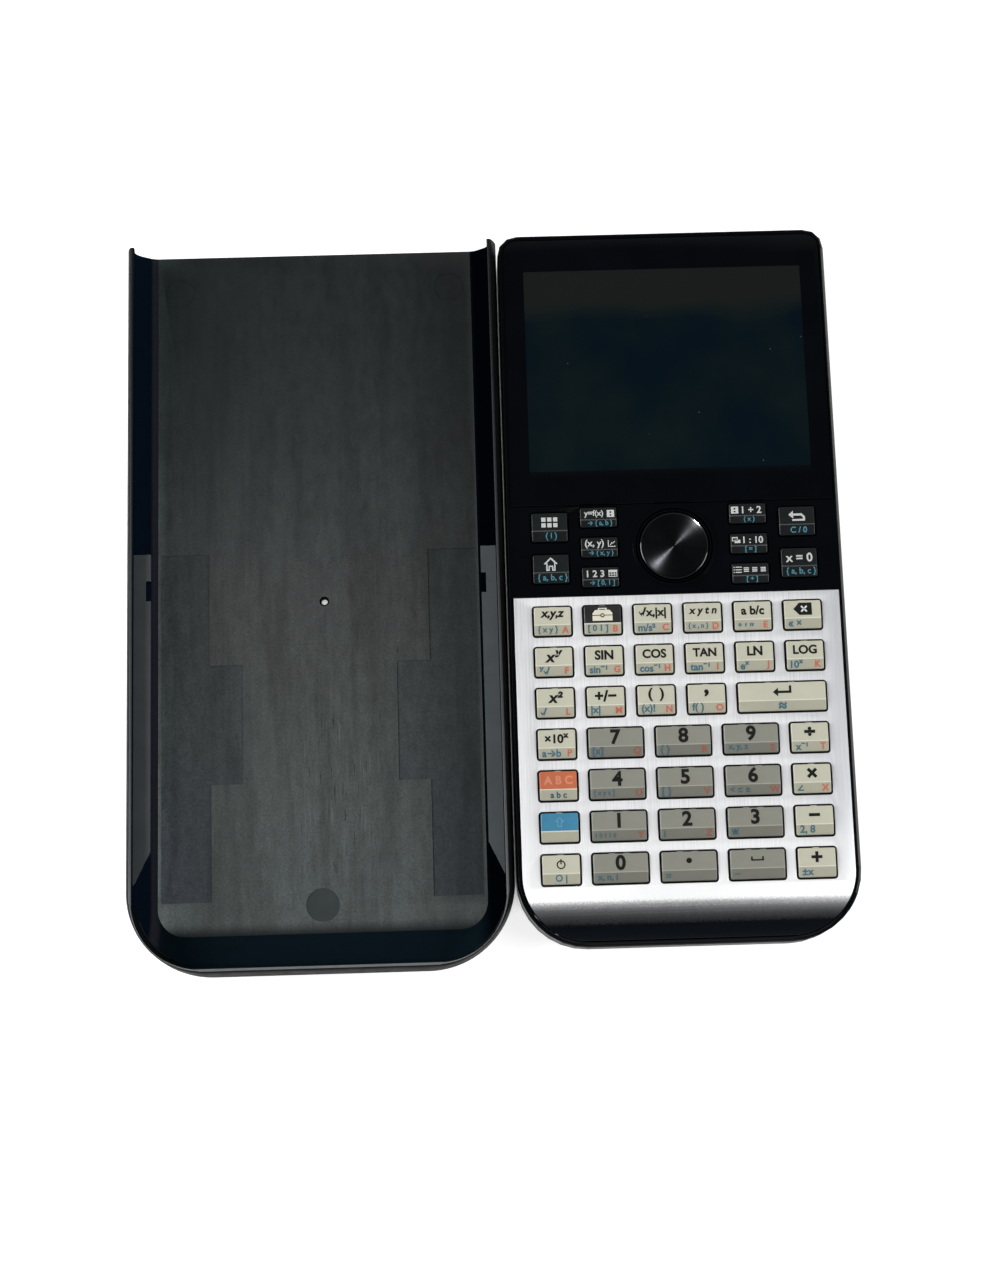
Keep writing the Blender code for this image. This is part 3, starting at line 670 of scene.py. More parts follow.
def make_housing():
    frame_finish = plastic("frame_gloss", (0.0006, 0.0011, 0.002), 0.12, 2.0, 0.0006, 0.3, (0.12, 0.014), 0.3)
    # The bead round the face stays near black except along the right edge, where painted light turns it grey,
    # beside the lens (upper) and beside the plate (lower).
    upper = graded_plastic("frame_bead_upper_painted_light", "X", "40.6 .0012 .0016 .0022; 42.1 .1 .104 .096", 0.35, 0.03)
    lower = graded_plastic("frame_bead_lower_painted_light", "X", "40.6 .0012 .0016 .0022; 42.2 .062 .066 .066", 0.45, 0.02)
    flank = plastic("frame_flank", (0.004, 0.0045, 0.005), 0.38, 3.0, 0.004, 0.12, gleam=0.15)
    mesh = softened_copy("front_frame", 0.12, 38, round_outer_edge)
    obj = put_piece("frame_shell", mesh, "frame_black", [frame_finish, upper, lower, flank], ["front_frame"])
    for polygon in mesh.polygons:
        x, y, z = polygon.center / MM
        depth = FACE_Z - roll_drop(y) - z
        # Bead faces take the bead finishes with their painted light.
        if rim_inset(x, y) < BEAD_WIDTH - 0.03 and depth < BEAD_WIDTH + 0.4:
            polygon.material_index = 1 if y > PLATE_TOP_Y else 2
        elif abs(polygon.normal.z) < 0.35 and z < FACE_Z - 0.3:
            polygon.material_index = 3
    weigh_normals(obj)
    for name, node_name, width, look, colour, rough in (
        ("case_back", "rear_case", 0.22, "case_grain", (0.0115, 0.0118, 0.0135), 0.52),
        ("door_skin", "battery_door", 0.18, "door_grain", (0.0125, 0.0128, 0.0145), 0.5),
    ):
        mesh = softened_copy(node_name, width, 40)
        finish = plastic(look, colour, rough, 3.2, 0.02, 0.16, (0.3, 0.03), 0.35)
        weigh_normals(put_piece(name, mesh, "case_black", [finish], [node_name]))


# Pad


def turned_mesh(profile, sides=96, hollow=False):
    """A closed turned body from (radius, z) points that start and end on the axis, or a hollow ring."""
    work = bmesh.new()
    rings = []
    for radius, z in profile:
        if radius < 1e-6:
            rings.append([work.verts.new((0, 0, z))])
        else:
            rings.append([work.verts.new((x, y, z)) for x, y in disc(0, 0, radius, sides)])
    join_rings(work, rings + rings[:1] if hollow else rings, sides)
    bmesh.ops.recalc_face_normals(work, faces=work.faces)
    return closed(work, "turned")


def make_pad_ring():
    """The raised ring round the pad: a rounded bead over the frame's own ring."""
    top = FACE_Z + 0.5
    profile = [(9.12, top - 1.4), (9.12, top - 0.25), (9.2, top - 0.1), (9.4, top), (9.75, top)]
    for i in range(1, 7):
        angle = math.radians(90 * i / 6)
        profile.append((9.75 + 0.72 * math.sin(angle), top - 0.5 * (1 - math.cos(angle))))
    profile.append((10.47, top - 1.4))
    mesh = turned_mesh(profile, 128, True)
    finish = plastic("ring_gloss", (0.002, 0.0024, 0.003), 0.1, 2.0, 0.0004)
    put_piece("pad_ring", mesh, "frame_black", [finish], (), 40, place=NAV_PLACE)


def make_pad():
    low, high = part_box("nav_disc")
    top = high.z / MM
    bottom = low.z / MM
    dish = [(r, top - 0.25 + 0.25 * (r / 7.7) ** 2) for r in (0.0, 1.0, 2.0, 3.5, 5.0, 6.4, 7.7)]
    edge = [(PAD_RADIUS - 0.5 + 0.5 * math.sin(a), top - 0.5 + 0.5 * math.cos(a))
            for a in (0.3, 0.7, 1.1, math.pi / 2)]
    foot = [(PAD_RADIUS, 11.6), (2.0, 11.6), (2.0, bottom), (0.0, bottom)]
    mesh = turned_mesh(dish + [(8.0, top - 0.02)] + edge + foot)
    finish = [turned_metal("pad_turned")]
    put_piece("pad_disc", mesh, "pad_metal", finish, ["nav_disc"], 40, "nav_disc", NAV_PLACE)


# Keys


def cap_surface(y, height, top):
    """Height of a key's top at y: level, then falling along the lower strip."""
    ridge = height * (RIDGE_SHARE - 0.5)
    run = max(0.0, ridge - y) / (ridge + height / 2)
    return top - STRIP_DROP * run


def cap_mesh(width, height, bottom, top, tabs):
    """A key cap centred on the origin: rounded edges, a ridge line with a painted highlight, a lower strip
    and sides in painted shade, and hinge tabs at the upper edge that share the ridge's painted highlight.
    """
    levels = [(0.0, bottom), (0.0, top - KEY_BEVEL)]
    for i in range(1, 5):
        angle = math.radians(90 * i / 4)
        levels.append((KEY_BEVEL * (1 - math.cos(angle)), top - KEY_BEVEL * (1 - math.sin(angle))))
    work = bmesh.new()
    rings = []
    for inset, z in levels:
        outline = rounded(around(0, width / 2 - inset), around(0, height / 2 - inset), KEY_CORNER - inset, 5)
        rings.append([work.verts.new((x, y, z)) for x, y in outline])
    join_rings(work, rings, len(outline))
    work.faces.new(rings[0][::-1])
    work.faces.new(rings[-1])
    ridge = height * (RIDGE_SHARE - 0.5)
    slice_lengthwise(work, [ridge + RIDGE_HALF, ridge - RIDGE_HALF])
    for vert in work.verts:
        if vert.co.z > (bottom + top) / 2:
            vert.co.z += cap_surface(vert.co.y, height, top) - top
    work.normal_update()
    # Finishes: 0 face, 1 ridge line (painted highlight), 2 lower strip (painted shade), 3 sides and low faces
    # (painted shade).
    for face in work.faces:
        middle = face.calc_center_median()
        if abs(face.normal.z) < 0.3 or middle.z < top - STRIP_DROP - KEY_BEVEL - 0.3:
            face.material_index = 3
        elif middle.y > ridge + RIDGE_HALF:
            face.material_index = 0
        elif middle.y > ridge - RIDGE_HALF:
            face.material_index = 1
        else:
            face.material_index = 2
    for x in tabs:
        added = bmesh.ops.create_cube(work, size=1.0)["verts"]
        bmesh.ops.scale(work, verts=added, vec=(1.5, TAB_REACH + 0.05, 0.7))
        bmesh.ops.translate(work, verts=added, vec=(x, height / 2 + TAB_REACH / 2 - 0.025, top - 1.3))
        # The tabs take the ridge's painted highlight.
        for face in {face for vert in added for face in vert.link_faces}:
            face.material_index = 1
    return closed(work, "cap")


def lay_marks(name, parts, height, top):
    """A key's thin marks as one mesh: each a (mesh, size, x, y, ink number), or with "left" to start at x."""
    work = bmesh.new()
    for number, (mesh, size, x, y, ink, *side) in enumerate(parts):
        lift = LEGEND_LIFT + 0.012 * number
        seen = len(work.verts)
        faces = len(work.faces)
        work.from_mesh(mesh)
        work.verts.ensure_lookup_table()
        work.faces.ensure_lookup_table()
        fresh = work.verts[seen:]
        floor = min(vert.co.z for vert in fresh)
        across, along = [v.co.x for v in fresh], [v.co.y for v in fresh]
        middle = (min(along) + max(along)) / 2
        centre = min(across) if side else (min(across) + max(across)) / 2
        for vert in fresh:
            upper = vert.co.z > floor + 1e-4
            vert.co.x = x + (vert.co.x - centre) * size
            vert.co.y = y + (vert.co.y - middle) * size
            vert.co.z = cap_surface(vert.co.y, height, top) + (lift if upper else 0.003)
        for face in work.faces[faces:]:
            face.material_index = ink
    return closed(work, name)


def icon(name):
    """Small pictograms of plain shapes, about two units high."""
    frames = {
        "case": [
            [shape("-2.5,-1.65 2.5,-1.65 2.5,-.35 .56,-.35") + arc((0, -0.27), 0.56, -9, 8, -162.0)
             + shape("-.56,-.35 -2.5,-.35")],
            [shape("2.5,-.15 2.5,.25 1.8,1.1 1.1,1.1 1.1,1.6 -1.1,1.6 -1.1,1.1 -1.8,1.1 -2.5,.25 -2.5,-.15 "
                   "-.54,-.15") + arc((0, -0.27), 0.54, 168, 8, -156.0),
             rounded((-0.8, 0.8), (1.12, 1.34), 0.08, 2)],
            [disc(0, -0.27, 0.27)],
        ],
        "delete": [[shape("-1.3,0 -.5,.85 1.2,.85 1.2,-.85 -.5,-.85")]],
        "cross": [[shape("-.45,-.3 -.3,-.45 .45,.3 .3,.45")],
                  [shape("-.3,.45 -.45,.3 .3,-.45 .45,-.3")]],
        "return": [[shape("-1.6,-.2 -.7,.55 -.7,.02 1.2,.02 1.2,.9 1.6,.9 1.6,-.4 -.7,-.4 -.7,-.95")]],
        "up": [[shape("-1,.1 0,1.1 1,.1 .45,.1 .45,-.9 -.45,-.9 -.45,.1"),
                shape("-.5,.3 0,.8 .5,.3 .25,.3 .25,-.7 -.25,-.7 -.25,.3")]],
        "power": [[disc(0, 0, 0.95), disc(0, 0, 0.68)], [rectangle(-0.14, 0.1, 0.14, 1.2)]],
        "house": [[shape("-1.75,.15 0,1.8 1.75,.15 1.5,-.12 1.2,.15 1.2,-1.8 .3,-1.8 .3,-.75 -.3,-.75 "
                         "-.3,-1.8 -1.2,-1.8 -1.2,.15 -1.5,-.12"),
                   shape("-.85,.45 0,1.28 .85,.45 .85,-1.45 .62,-1.45 .62,-.42 -.62,-.42 -.62,-1.45 "
                         "-.85,-1.45")]],
        "grid": [[rectangle(x, y, x + 0.72, y + 0.72)] for x in (-1.35, -0.36, 0.63) for y in (-0.85, 0.13)],
        "sheets": [[rectangle(-1.0, -0.2, 0.4, 0.8), rectangle(-0.8, -0.05, 0.2, 0.5)],
                   [rectangle(-0.4, -0.7, 1.0, 0.1)]],
        "lines": [[rectangle(x, y, x + w, y + 0.24)] for x, w in ((-1.0, 0.3), (-0.5, 1.5))
                  for y in (-0.75, -0.12, 0.51)],
        "axes": [[shape("-.9,.9 -.9,-.8 1,-.8 1,-.6 -.68,-.6 -.68,.9")],
                 [shape("-.45,-.35 -.3,-.45 .15,.15 .4,-.05 .95,.65 .8,.75 .38,.22 .12,.42")]],
        "table": [[rectangle(-0.95, -0.75, 0.95, 0.8)]
                  + [rectangle(x0, y0, x1, y1) for y0, y1 in ((-0.6, -0.25), (-0.1, 0.25))
                     for x0, x1 in ((-0.78, -0.32), (-0.2, 0.26), (0.38, 0.8))]],
        "book": [[rectangle(-0.8, -0.8, 0.8, 0.8), rectangle(-0.2, 0.1, 0.2, 0.5),
                  rectangle(-0.2, -0.5, 0.2, -0.2)]],
        "back": [[shape("-1.6,.35 -.7,1.1 -.7,.57 .9,.57 1.5,-.05 1.5,-.85 -.9,-.85 -.9,-.5 1.1,-.5 1.1,-.15 "
                        ".75,.15 -.7,.15 -.7,-.4")]],
        "open_box": [[shape("-1.2,.4 -1.2,-.4 1.2,-.4 1.2,.4 .9,.4 .9,-.12 -.9,-.12 -.9,.4")]],
    }
    work = bmesh.new()
    for outlines in frames[name]:
        work.from_mesh(sheet_mesh(outlines, (-0.005, 0.005)))
    return closed(work, "icon_" + name)


# Each light key: main mark, its size in mm, and the strip's blue mark. Icons start with "@", sloped with "/"
LIGHT_MARKS = """\
vars;/x,y,z;3;{ x y }
toolbox;@case;1;[ 0 1 ]
templates;√x,|x|;2.9;m/s²
variable;/x y t n;2.6;{ x , n }
fraction;a b/c;3;° ′ ″
backspace;@delete;1.85;  « ×
power;/xʸ;3.8;ʸ√
sine;SIN;3.2;sin⁻¹
cosine;COS;3;cos⁻¹
tangent;TAN;2.9;tan⁻¹
natural_log;LN;3.2;eˣ
common_log;LOG;3;10ˣ
square;/x²;3.8;√
sign;+/−;3.8;|x|
parentheses;(  );3.4;(x)!
comma;,;5.6;f( )
enter;@return;1.45;≈
exponent;×10ˣ;3;a→b
seven;7;4.9;[x]
eight;8;4.9;{ }
nine;9;4.9;x, y, z
divide;÷;5;x⁻¹
alpha;A B C;2.8;a b c
four;4;4.9;[ x y z ]
five;5;4.9;[ ]
six;6;4.9;< ≤ ≥
multiply;×;4.9;∠
shift;@up;1.25;
one;1;4.9;1 0 1 1 0
two;2;4.9;i
three;3;4.9;π
minus;−;5;2, 8
on;@power;1.15;○ |
zero;0;4.9;x, n, i
point;.;7;=
space;@open_box;1.3;_
plus;+;4.9;±x
"""
# Each black key: the blue mark, and then pictograms and white marks, each with its size, x and y
BLACK_MARKS = """\
apps;( i );@grid;1.5;0;1.25
home;{ a, b, c };@house;0.97;0;1.25
symbolic;→ { a, b };y=f(x);2;-1.15;0.85;@book;1.15;3.1;0.85
plot;→ ( x, y );(x, y);2.4;-1.25;0.85;@axes;1;3.1;0.85
numeric;→ [ 0, 1 ];1 2 3;2.4;-1.25;0.85;@table;1.15;3.1;0.85
help;( x );@book;1.15;-3.2;0.85;1 + 2;2.5;1.1;0.85
view;[ = ];@sheets;1.05;-3.2;0.85;1 : 10;2.4;1.1;0.85
menu;[ + ];@lines;1.05;-3.2;0.85;≡ ≡ ≡;2.5;1.1;0.85
escape;C / 0;@back;1.35;0;1.25
algebra;{ a, b, c };x = 0;3.1;0;1.25
"""


# The light keys' inks, which the marks on them name by number
INKS = """\
dark .007 .007 .006
blue .05 .13 .175
orange .48 .125 .075
cream .62 .59 .48
white .62 .64 .62
pale_orange .56 .215 .13
pale_blue .11 .29 .42
dull_blue .05 .11 .14
dull_orange .26 .085 .052
teal .03 .085 .1
"""


def read_marks(table):
    """Each line's first word, with the rest of its fields."""
    rows = [line.split(";") for line in table.splitlines()]
    return {name: fields for name, *fields in rows}


def key_rooms():
    """Every key's name, centre and size in the calculator's frame, read from its CAD node."""
    rooms = []
    for node_name in sorted(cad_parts):
        if not node_name.startswith("key_"):
            continue
        low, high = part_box(node_name)
        centre = (low + high) / 2 - CASE_PLACE
        rooms.append((node_name[4:], centre / MM, (high - low) / MM, low.z / MM, high.z / MM))
    return rooms


def key_marks(text, bold):
    if text.startswith("@"):
        return icon(text[1:])
    if text.startswith("/"):
        return text_mesh(text[1:], bold, 0.2)
    return text_mesh(text, bold)


def reading_order(rooms):
    """The small orange letters run along the rows from the top left."""
    rows = sorted(rooms, key=lambda room: (-round(room[1].y), room[1].x))
    names = [room[0] for room in rows if room[0] not in ("alpha", "shift", "on", "enter", "backspace")]
    return dict(zip(names, "ABCDEFGHIJKLMNOPQRSTUVWXYZ"))


def put_key(name, centre, cap, finish, marks, inks, slot):
    place = CASE_PLACE + Vector((centre.x, centre.y, 0)) * MM
    node_name = "key_" + name
    weigh_normals(put_piece("cap_" + name, cap, slot, finish, [node_name], 50, node_name, place))
    put_piece("marks_" + name, marks, slot, inks, (), 30, node_name, place)


def make_light_keys(rooms, table, inks):
    cream = cap_finish("key_cream", (0.45, 0.44, 0.35), (0.57, 0.555, 0.46), (0.335, 0.325, 0.25))
    wide = cap_finish("key_grey", (0.205, 0.205, 0.172), (0.29, 0.285, 0.24), (0.142, 0.142, 0.117))
    orange = [plastic("key_orange_top", (0.44, 0.118, 0.052), 0.42)] + cream[1:]
    blue = [plastic("key_blue_top", (0.042, 0.185, 0.305), 0.42)] + cream[1:]
    black = [plastic("key_black_top", (0.012, 0.012, 0.012), 0.4)] + cream[1:]
    looks = {"alpha": (orange, "key_orange"), "shift": (blue, "key_blue"), "toolbox": (black, "key_cream")}
    letters = reading_order(rooms)
    for name, centre, size, bottom, top in rooms:
        is_wide = 12 < size.x < 16
        finish, slot = looks.get(name, (wide, "key_grey") if is_wide else (cream, "key_cream"))
        tabs = (-0.15 * size.x, 0.12 * size.x) if size.x > 12 else (0.0,)
        cap = cap_mesh(size.x, KEY_HEIGHT, bottom, top, tabs)
        main, mark_size, second = table[name]
        upper_y = KEY_HEIGHT * (RIDGE_SHARE / 2) + 0.05
        lower_y = KEY_HEIGHT * (RIDGE_SHARE / 2 - 0.5)
        main_ink = {"alpha": 5, "shift": 6, "toolbox": 3}.get(name, 0)
        blue_ink, orange_ink = (7, 8) if is_wide else (1, 2)
        parts = [(key_marks(main, 0.036), float(mark_size), 0.0, upper_y, main_ink)]
        if name == "backspace":
            parts.append((icon("cross"), 1.9, 0.35, upper_y + 0.001, 4))
        if name in ("alpha", "enter", "on"):
            ink = 9 if name == "alpha" else blue_ink
            size_mm = 3.6 if name == "enter" else 2.1
            parts.append((text_mesh(second, 0.03), size_mm, 0.0, lower_y, ink))
        elif second:
            mark = text_mesh(second, 0.03)
            across = max(v.co.x for v in mark.vertices) - min(v.co.x for v in mark.vertices)
            fitted = min(2.5, MARK_ROOM / across)
            parts.append((mark, fitted, 0.9 - size.x / 2, lower_y, blue_ink, "left"))
        if name in letters:
            letter = text_mesh(letters[name], 0.03)
            parts.append((letter, 2.25, size.x / 2 - 1.45, lower_y, orange_ink))
        put_key(name, centre, cap, finish, lay_marks(name, parts, KEY_HEIGHT, top), inks, slot)


# A light key's finishes: its face; a paler ridge line that is a painted highlight; a darker lower strip and
# near-black sides that are painted shade.
def cap_finish(name, face, ridge, strip):
    return [
        plastic(name + "_face", face, 0.42, mottle=0.05),
        plastic(name + "_ridge", ridge, 0.38, depth=0.004, mottle=0.05),
        plastic(name + "_strip", strip, 0.45, mottle=0.06),
        plastic(name + "_skirt", (0.012, 0.012, 0.011), 0.5),
    ]


def make_black_keys(rooms, table, inks):
    # Black keys: the pale ridge is a painted highlight; the darker lower strip and the near-black sides are
    # painted shade.
    looks = (("face", (0.0085, 0.0105, 0.011), 0.36, 0.2), ("ridge", (0.062, 0.063, 0.06), 0.36, 0.3),
             ("strip", (0.006, 0.0072, 0.0085), 0.36, 0.25), ("skirt", (0.001, 0.0012, 0.0016), 0.4, 0.2))
    finish = [plastic("key_black_" + part, colour, rough, depth=0.004, gleam=gleam)
              for part, colour, rough, gleam in looks]
    for name, centre, size, bottom, top in rooms:
        cap = cap_mesh(size.x, size.y, bottom, top, ())
        blue, *whites = table[name]
        parts = []
        for text, *numbers in zip(*[iter(whites)] * 4):
            parts.append((key_marks(text, 0.022), *map(float, numbers), 0))
        lower_y = size.y * (RIDGE_SHARE / 2 - 0.5)
        parts.append((text_mesh(blue, 0.022), 1.65 if size.y < 6 else 2.1, 0.4, lower_y, 1))
        put_key(name, centre, cap, finish, lay_marks(name, parts, size.y, top), inks, "key_black")


def make_keys():
    rooms = key_rooms()
    light_marks, black_marks = read_marks(LIGHT_MARKS), read_marks(BLACK_MARKS)
    light = [room for room in rooms if room[0] in light_marks]
    black = [room for room in rooms if room[0] in black_marks]
    inks = []
    for row in INKS.splitlines():
        ink, *colour = row.split()
        inks.append(plastic("ink_" + ink, [float(value) for value in colour], 0.5, 6.0, 0.002, gleam=0.2))
    make_light_keys(light, light_marks, inks)
    white_ink = plastic("ink_cool_white", (0.46, 0.47, 0.455), 0.5, 6.0, 0.002)
    bright_blue = plastic("ink_bright_blue", (0.04, 0.185, 0.235), 0.5, 6.0, 0.002)
    make_black_keys(black, black_marks, [white_ink, bright_blue])
    openings = []
    for _, centre, size, _, _ in light:
        x_range = around(centre.x, size.x / 2 + KEY_CLEARANCE)
        y_range = around(centre.y, KEY_HEIGHT / 2 + KEY_CLEARANCE)
        openings.append(rounded(x_range, y_range, KEY_CORNER + KEY_CLEARANCE))
    return openings


# Cover


def smooth_section(steps):
    """The cover's section with rounded runs between its points, by Catmull-Rom."""
    points = [Vector(p) for p in COVER_SECTION]
    section = []
    for i in range(len(points) - 1):
        before = points[max(0, i - 1)]
        after = points[min(len(points) - 1, i + 2)]
        start, end = points[i], points[i + 1]
        for j in range(steps):
            t = j / steps
            curve = (2 * start + (end - before) * t + (2 * before - 5 * start + 4 * end - after) * t**2
                     + (3 * start - before - 3 * end + after) * t**3) / 2
            curve.z = max(0.0, curve.z)
            section.append(curve)
    section.append(points[-1])
    return section


def cover_ring(side_inset, end_inset, z):
    share = min(1.0, max(0.0, side_inset / FLOOR_INSET))
    radius = COVER_CORNER - (COVER_CORNER - FLOOR_CORNER) * share
    half = COVER_HALF_WIDTH - max(0.0, side_inset)
    low = -COVER_TAIL + max(0.0, end_inset)
    corner = arc((half - radius, low + radius), radius, -90, 24)
    right = [(half, COVER_LENGTH - COVER_LEAN * z)] + corner[::-1]
    return [(x, y, z) for x, y in right + [(-x, y) for x, y in reversed(right)]]


def cover_tray():
    work = bmesh.new()
    levels = [[work.verts.new(point) for point in cover_ring(*place)] for place in smooth_section(4)]
    sides = len(levels[0])
    join_rings(work, levels, sides, sides - 1)
    work.faces.new(levels[0][::-1])
    work.faces.new(levels[-1])
    work.faces.new([level[0] for level in levels] + [level[-1] for level in reversed(levels)])
    bmesh.ops.recalc_face_normals(work, faces=work.faces)
    return closed(work, "tray")


def combined(mesh, tools):
    """The mesh after each (other mesh, operation) has been joined to it or cut from it."""
    base = holder_for(mesh)
    others = []
    for other, operation in tools:
        others.append(holder_for(other))
        adjusted(base.modifiers.new("shape", "BOOLEAN"), operation=operation, solver="EXACT",
                 object=others[-1])
    result = baked(base)
    for holder in others:
        bpy.data.objects.remove(holder, do_unlink=True)
    return result


# A rail, and a recessed side area of the floor: wide, then wider, then narrow again
RAIL = "46.3,17.6 46.3,101.4 41.6,101.4 41.6,94.5 42.8,94.5 42.8,89.4 41.6,89.4 41.6,26.4 45.3,18.6"
PATCH = "40.2,14.2 40.2,103.1 28,103.1 28,74.1 19.6,74.1 19.6,43.6 27.6,43.6 27.6,14.2"


def on_side(side, text):
    return [[(side * x, y) for x, y in shape(text)]]


def cover_inset(x, y):
    """How far a point lies inside the cover's outline, seen from above."""
    across = abs(x) - (COVER_HALF_WIDTH - COVER_CORNER)
    along = COVER_CORNER - COVER_TAIL - y
    if across > 0 and along > 0:
        return COVER_CORNER - math.hypot(across, along)
    return min(COVER_HALF_WIDTH - abs(x), y + COVER_TAIL)


def cover_finish(face):
    """A cover face's material: 0 lip, 1 floor, 2 patch, 3 smooth disc, 4 rail, 5 wall (painted shade), 6
    crest (painted highlight), 7 outside.
    """
    x, y, z = face.calc_center_median()
    up = face.normal.z
    if up > 0.9 and z < FLOOR_Z - 0.4:
        return 0
    if up > 0.9 and abs(x) < 40.6 and y > 6.0 and z < FLOOR_Z + 0.02:
        if z < FLOOR_Z - PATCH_DEPTH + 0.03:
            return 2
        return 3 if abs(FLOOR_Z - SPOT_DEPTH - z) < 0.02 else 1
    if up > 0.9 and 8.5 < z < 10.8 and abs(x) > 41.0:
        return 4
    if up > 0.7 and z > 15.33:
        return 6
    inset = cover_inset(x, y)
    if up > -0.35 and FLOOR_Z - 0.01 < z < 15.2 and inset > 1.7 and abs(face.normal.y) < 0.99:
        return 5
    return 7 if z < 7.6 and inset < 8.0 else 0


def make_cover():
    shapes = []
    for side in (1, -1):
        ring = [disc(side * 35.3, 174.0, radius, 48) for radius in (3.8, 3.6)]
        shapes += [(on_side(side, RAIL), RAIL_Z, "UNION"),
                   (on_side(side, PATCH), (FLOOR_Z - PATCH_DEPTH, CUT_TOP), "DIFFERENCE"),
                   (ring, (FLOOR_Z - 0.06, CUT_TOP), "DIFFERENCE")]
    shapes += [([disc(0, 12.8, 4.15, 48)], (FLOOR_Z - SPOT_DEPTH, CUT_TOP), "DIFFERENCE"),
               ([disc(*HOLE, 1.25, 24)], (FLOOR_Z - 0.5, CUT_TOP), "DIFFERENCE"),
               ([disc(*HOLE, 0.8, 20)], (-2.0, CUT_TOP), "DIFFERENCE")]
    tools = [(sheet_mesh(outlines, z_range), operation) for outlines, z_range, operation in shapes]
    mesh = combined(cover_tray(), tools)
    work = opened(mesh)
    for face in work.faces:
        face.material_index = cover_finish(face)
    closed(work, mesh)
    # Floor tones along the cover: near black from 8.8 mm down to 6 mm, as painted shade where the floor meets
    # the cove at the low end, then darker towards the top end.
    floor_tones = ("6 .0012 .0026 .004; 8.8 .058 .068 .066; 20 .056 .066 .064; 38 .0513 .0597 .0579; "
                   "65 .04 .0451 .0436; 98 .0314 .035 .0341; 113 .0243 .0297 .0288; "
                   "133 .0141 .0179 .0176; 160 .0069 .0104 .0104; 182 .0054 .0081 .0081")
    patch_tones = "14 .0328 .038 .0445; 60 .031 .037 .0378; 100 .0232 .028 .0288"
    # The inner walls are painted shade: near black, with painted light in a paler band low on the left wall
    # at the rail's inner face, and darkest towards the right side.
    wall_shade_tones = ("-42.8 .002 .0048 .0095; -42.2 .016 .016 .023; -40.9 .016 .016 .023; "
                  "-40 .003 .007 .01; 38 .003 .007 .01; 42 .0003 .0006 .0012")
    # The crest's grey line is a painted highlight: brightest at the low end, fading to near black at the top
    # end.
    crest_highlight_tones = ("-4 .125 .132 .135; 20 .075 .08 .084; 60 .042 .045 .048; 110 .02 .021 .023; "
                   "150 .009 .0095 .0105; 184 .006 .0062 .007")
    lip = plastic("cover_lip", (0.003, 0.0032, 0.0036), 0.45, 3.0, 0.006, 0.2, gleam=0.02)
    shell = plastic("cover_outside", (0.006, 0.0064, 0.0072), 0.42, 3.0, 0.01, 0.2, gleam=0.3)
    wall = graded_plastic("cover_wall_painted_shade", "X", wall_shade_tones, 0.4, 0.0, (0.11, 0.016))
    floor_wear_and_painted_light = cover_plastic("cover_floor", floor_tones, 0.35)
    patch = cover_plastic("cover_patch", patch_tones, 0.15)
    spot = plastic("cover_spot", (0.03, 0.036, 0.036), 0.4, 3.0, 0.003, gleam=0.25)
    rail = plastic("cover_rail", (0.065, 0.074, 0.078), 0.45, gleam=0.25)
    crest = graded_plastic("cover_crest_highlight", "Y", crest_highlight_tones, 0.42, 0.08)
    finish = [lip, floor_wear_and_painted_light, patch, spot, rail, wall, crest, shell]
    put_piece("cover_shell", mesh, "cover_black", finish, ["slide_cover"], 32, "slide_cover", COVER_PLACE)


# Carried-over nodes


def dress_inside():
    """Materials for the nodes that are kept as the CAD has them."""
    looks = {
        "main_board": circuit_board("board_laminate"),
        "dome_mat": plastic("mat_rubber", (0.03, 0.03, 0.032), 0.7, 2.5, 0.02),
        "battery": plastic("battery_wrap", (0.04, 0.042, 0.05), 0.38, 0.8, 0.02),
        "door_screw": brushed_steel("screw_steel"),
        "nav_pivot": plastic("pivot_nylon", (0.1, 0.1, 0.1), 0.55, 3.0, 0.01),
    }
    for node_name, material in looks.items():
        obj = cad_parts[node_name]
        obj.data.materials.clear()
        obj.data.materials.append(material)


# Surroundings


def make_floor():
    material, where = new_material("studio_floor")
    soft = noise(0.02, where, 2.0)
    tone = mix(soft, grey(0.46), grey(0.5))
    # The floor glows evenly to stay white; an ambient-occlusion node dims that glow into painted contact
    # shadow in the narrow gaps beside the pieces.
    painted_contact_shade = node("ShaderNodeAmbientOcclusion", {"Distance": 12.0 * MM}, where.id_data, samples=8)
    glow = spread(painted_contact_shade.outputs["AO"], 0.04, 0.2, 0.02, 0.8)
    finished(material, Base_Color=tone, Roughness=0.9, Emission_Color=grey(1.0), Emission_Strength=glow)
    size = 1.6
    mesh = bpy.data.meshes.new("studio_floor")
    corners = [(x, y, 0) for x, y in rectangle(-size, -size, size, size)]
    mesh.from_pydata(corners, [], [(0, 1, 2, 3)])
    mesh.materials.append(material)
    floor = bpy.data.objects.new("studio_floor", mesh)
    floor.location.z = -0.0004
    link(floor)


def add_light(name, place, target, size, power):
    light = adjusted(bpy.data.lights.new(name, "AREA"), shape="RECTANGLE", size=size[0], size_y=size[1],
                     energy=power)
    turn = (Vector(target) - Vector(place)).to_track_quat("-Z", "Y").to_euler()
    link(adjusted(bpy.data.objects.new(name, light), location=place, rotation_euler=turn))


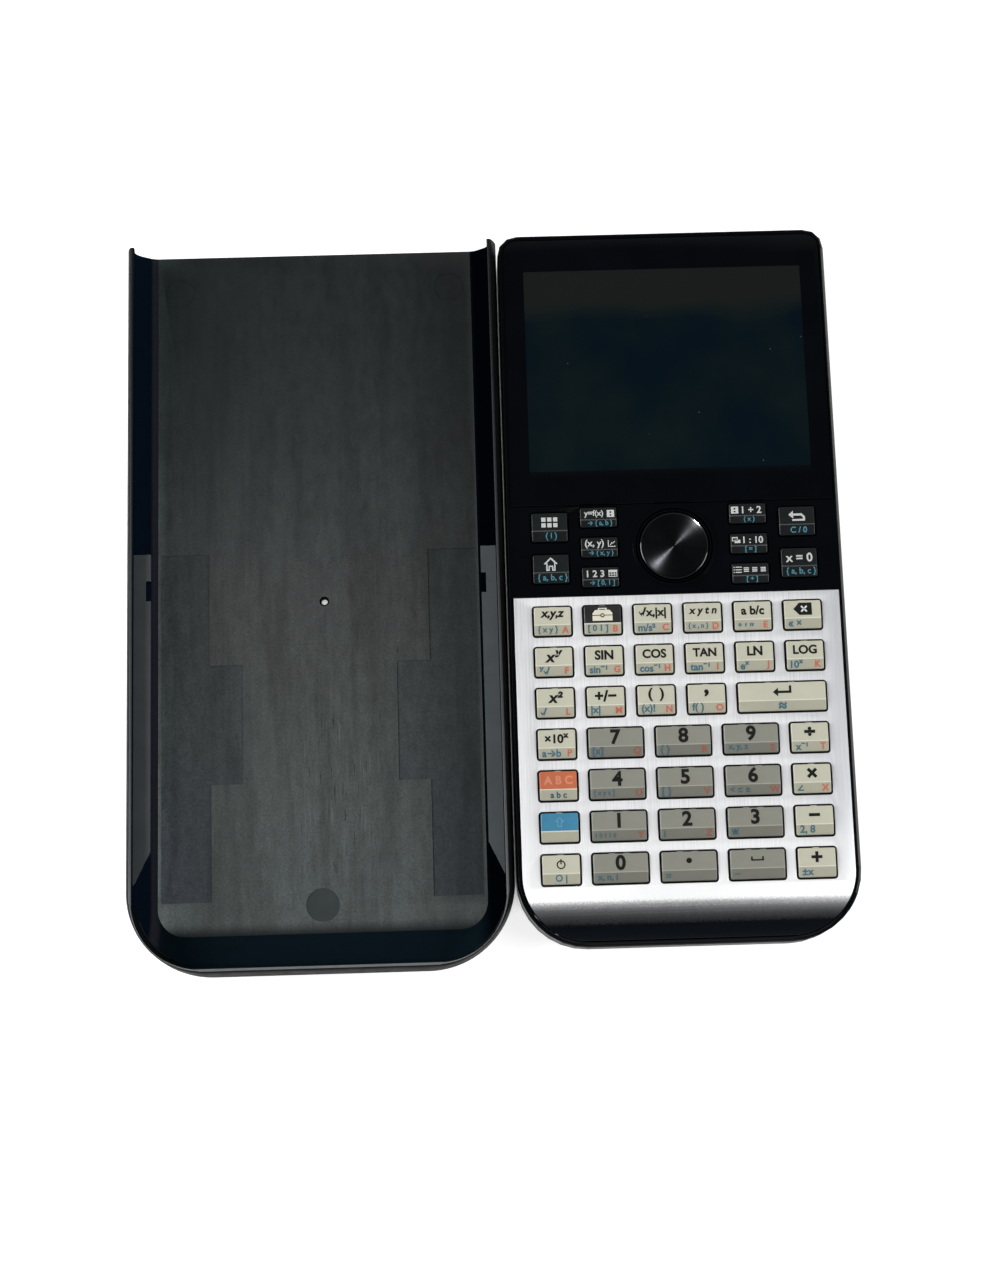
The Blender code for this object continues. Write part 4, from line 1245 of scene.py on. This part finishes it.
def make_lights():
    """Two soft boxes and a small key light from the upper right, under a sky that is darker overhead."""
    world = bpy.data.worlds.new("studio")
    world.use_nodes = True
    direction = node("ShaderNodeTexCoord", {}, world.node_tree).outputs["Generated"]
    background = world.node_tree.nodes["Background"]
    fill(background.inputs["Color"], (0.95, 0.98, 1.0))
    fill(background.inputs["Strength"], spread(split_axes(direction)["Z"], 0.55, 0.9, 0.52, 0.07))
    bpy.context.scene.world = world
    add_light("left_soft", (-0.8, 0.1, 0.5), (0, 0, 0), (0.5, 0.9), 13.0)
    add_light("right_soft", (0.8, -0.15, 0.45), (0, 0, 0), (0.4, 0.8), 6.5)
    add_light("top_key", (0.4, 0.48, 0.62), (0.04, 0.02, 0), (0.05, 0.05), 55.0)


def limit_key_light():
    """Keeps the small key light to the glossy black pieces, which take their glints from it."""
    receivers = bpy.data.collections.new("key_light_receivers")
    for name in ("pad_disc", "pad_ring"):
        receivers.objects.link(bpy.data.objects[name])
    bpy.data.objects["top_key"].light_linking.receiver_collection = receivers


# Camera, from the photograph's angle
CAMERA_TILT = math.radians(11.493)
CAMERA_ROLL = math.radians(-1.752)
CAMERA_TURN = math.radians(-3.965)
CAMERA_TARGET = Vector((-43.7, 76.436, 13.1))
CAMERA_DISTANCE = 549.19
CAMERA_LENS = 61.875


def make_camera():
    tilt, turn = CAMERA_TILT, CAMERA_TURN
    back = Vector((math.sin(turn) * math.sin(tilt), -math.cos(turn) * math.sin(tilt), math.cos(tilt)))
    right = Vector((0, 1, 0)).cross(back).normalized()
    up = back.cross(right)
    turned_right = math.cos(CAMERA_ROLL) * right + math.sin(CAMERA_ROLL) * up
    turned_up = -math.sin(CAMERA_ROLL) * right + math.cos(CAMERA_ROLL) * up
    camera = adjusted(bpy.data.cameras.new("camera"), sensor_fit="VERTICAL", sensor_height=36.0,
                      lens=CAMERA_LENS, clip_start=0.01)
    obj = bpy.data.objects.new("camera", camera)
    axes = Matrix((turned_right, turned_up, back)).transposed().to_4x4()
    place = CASE_PLACE + (CAMERA_TARGET + back * CAMERA_DISTANCE) * MM
    obj.matrix_world = Matrix.Translation(place) @ axes
    bpy.context.scene.camera = link(obj)


make_camera()
make_lights()
make_floor()
make_plate(make_keys())
make_lens()
make_display()
make_housing()
make_pad_ring()
make_pad()
make_cover()
dress_inside()
limit_key_light()
bpy.context.scene.view_settings.view_transform = "Standard"
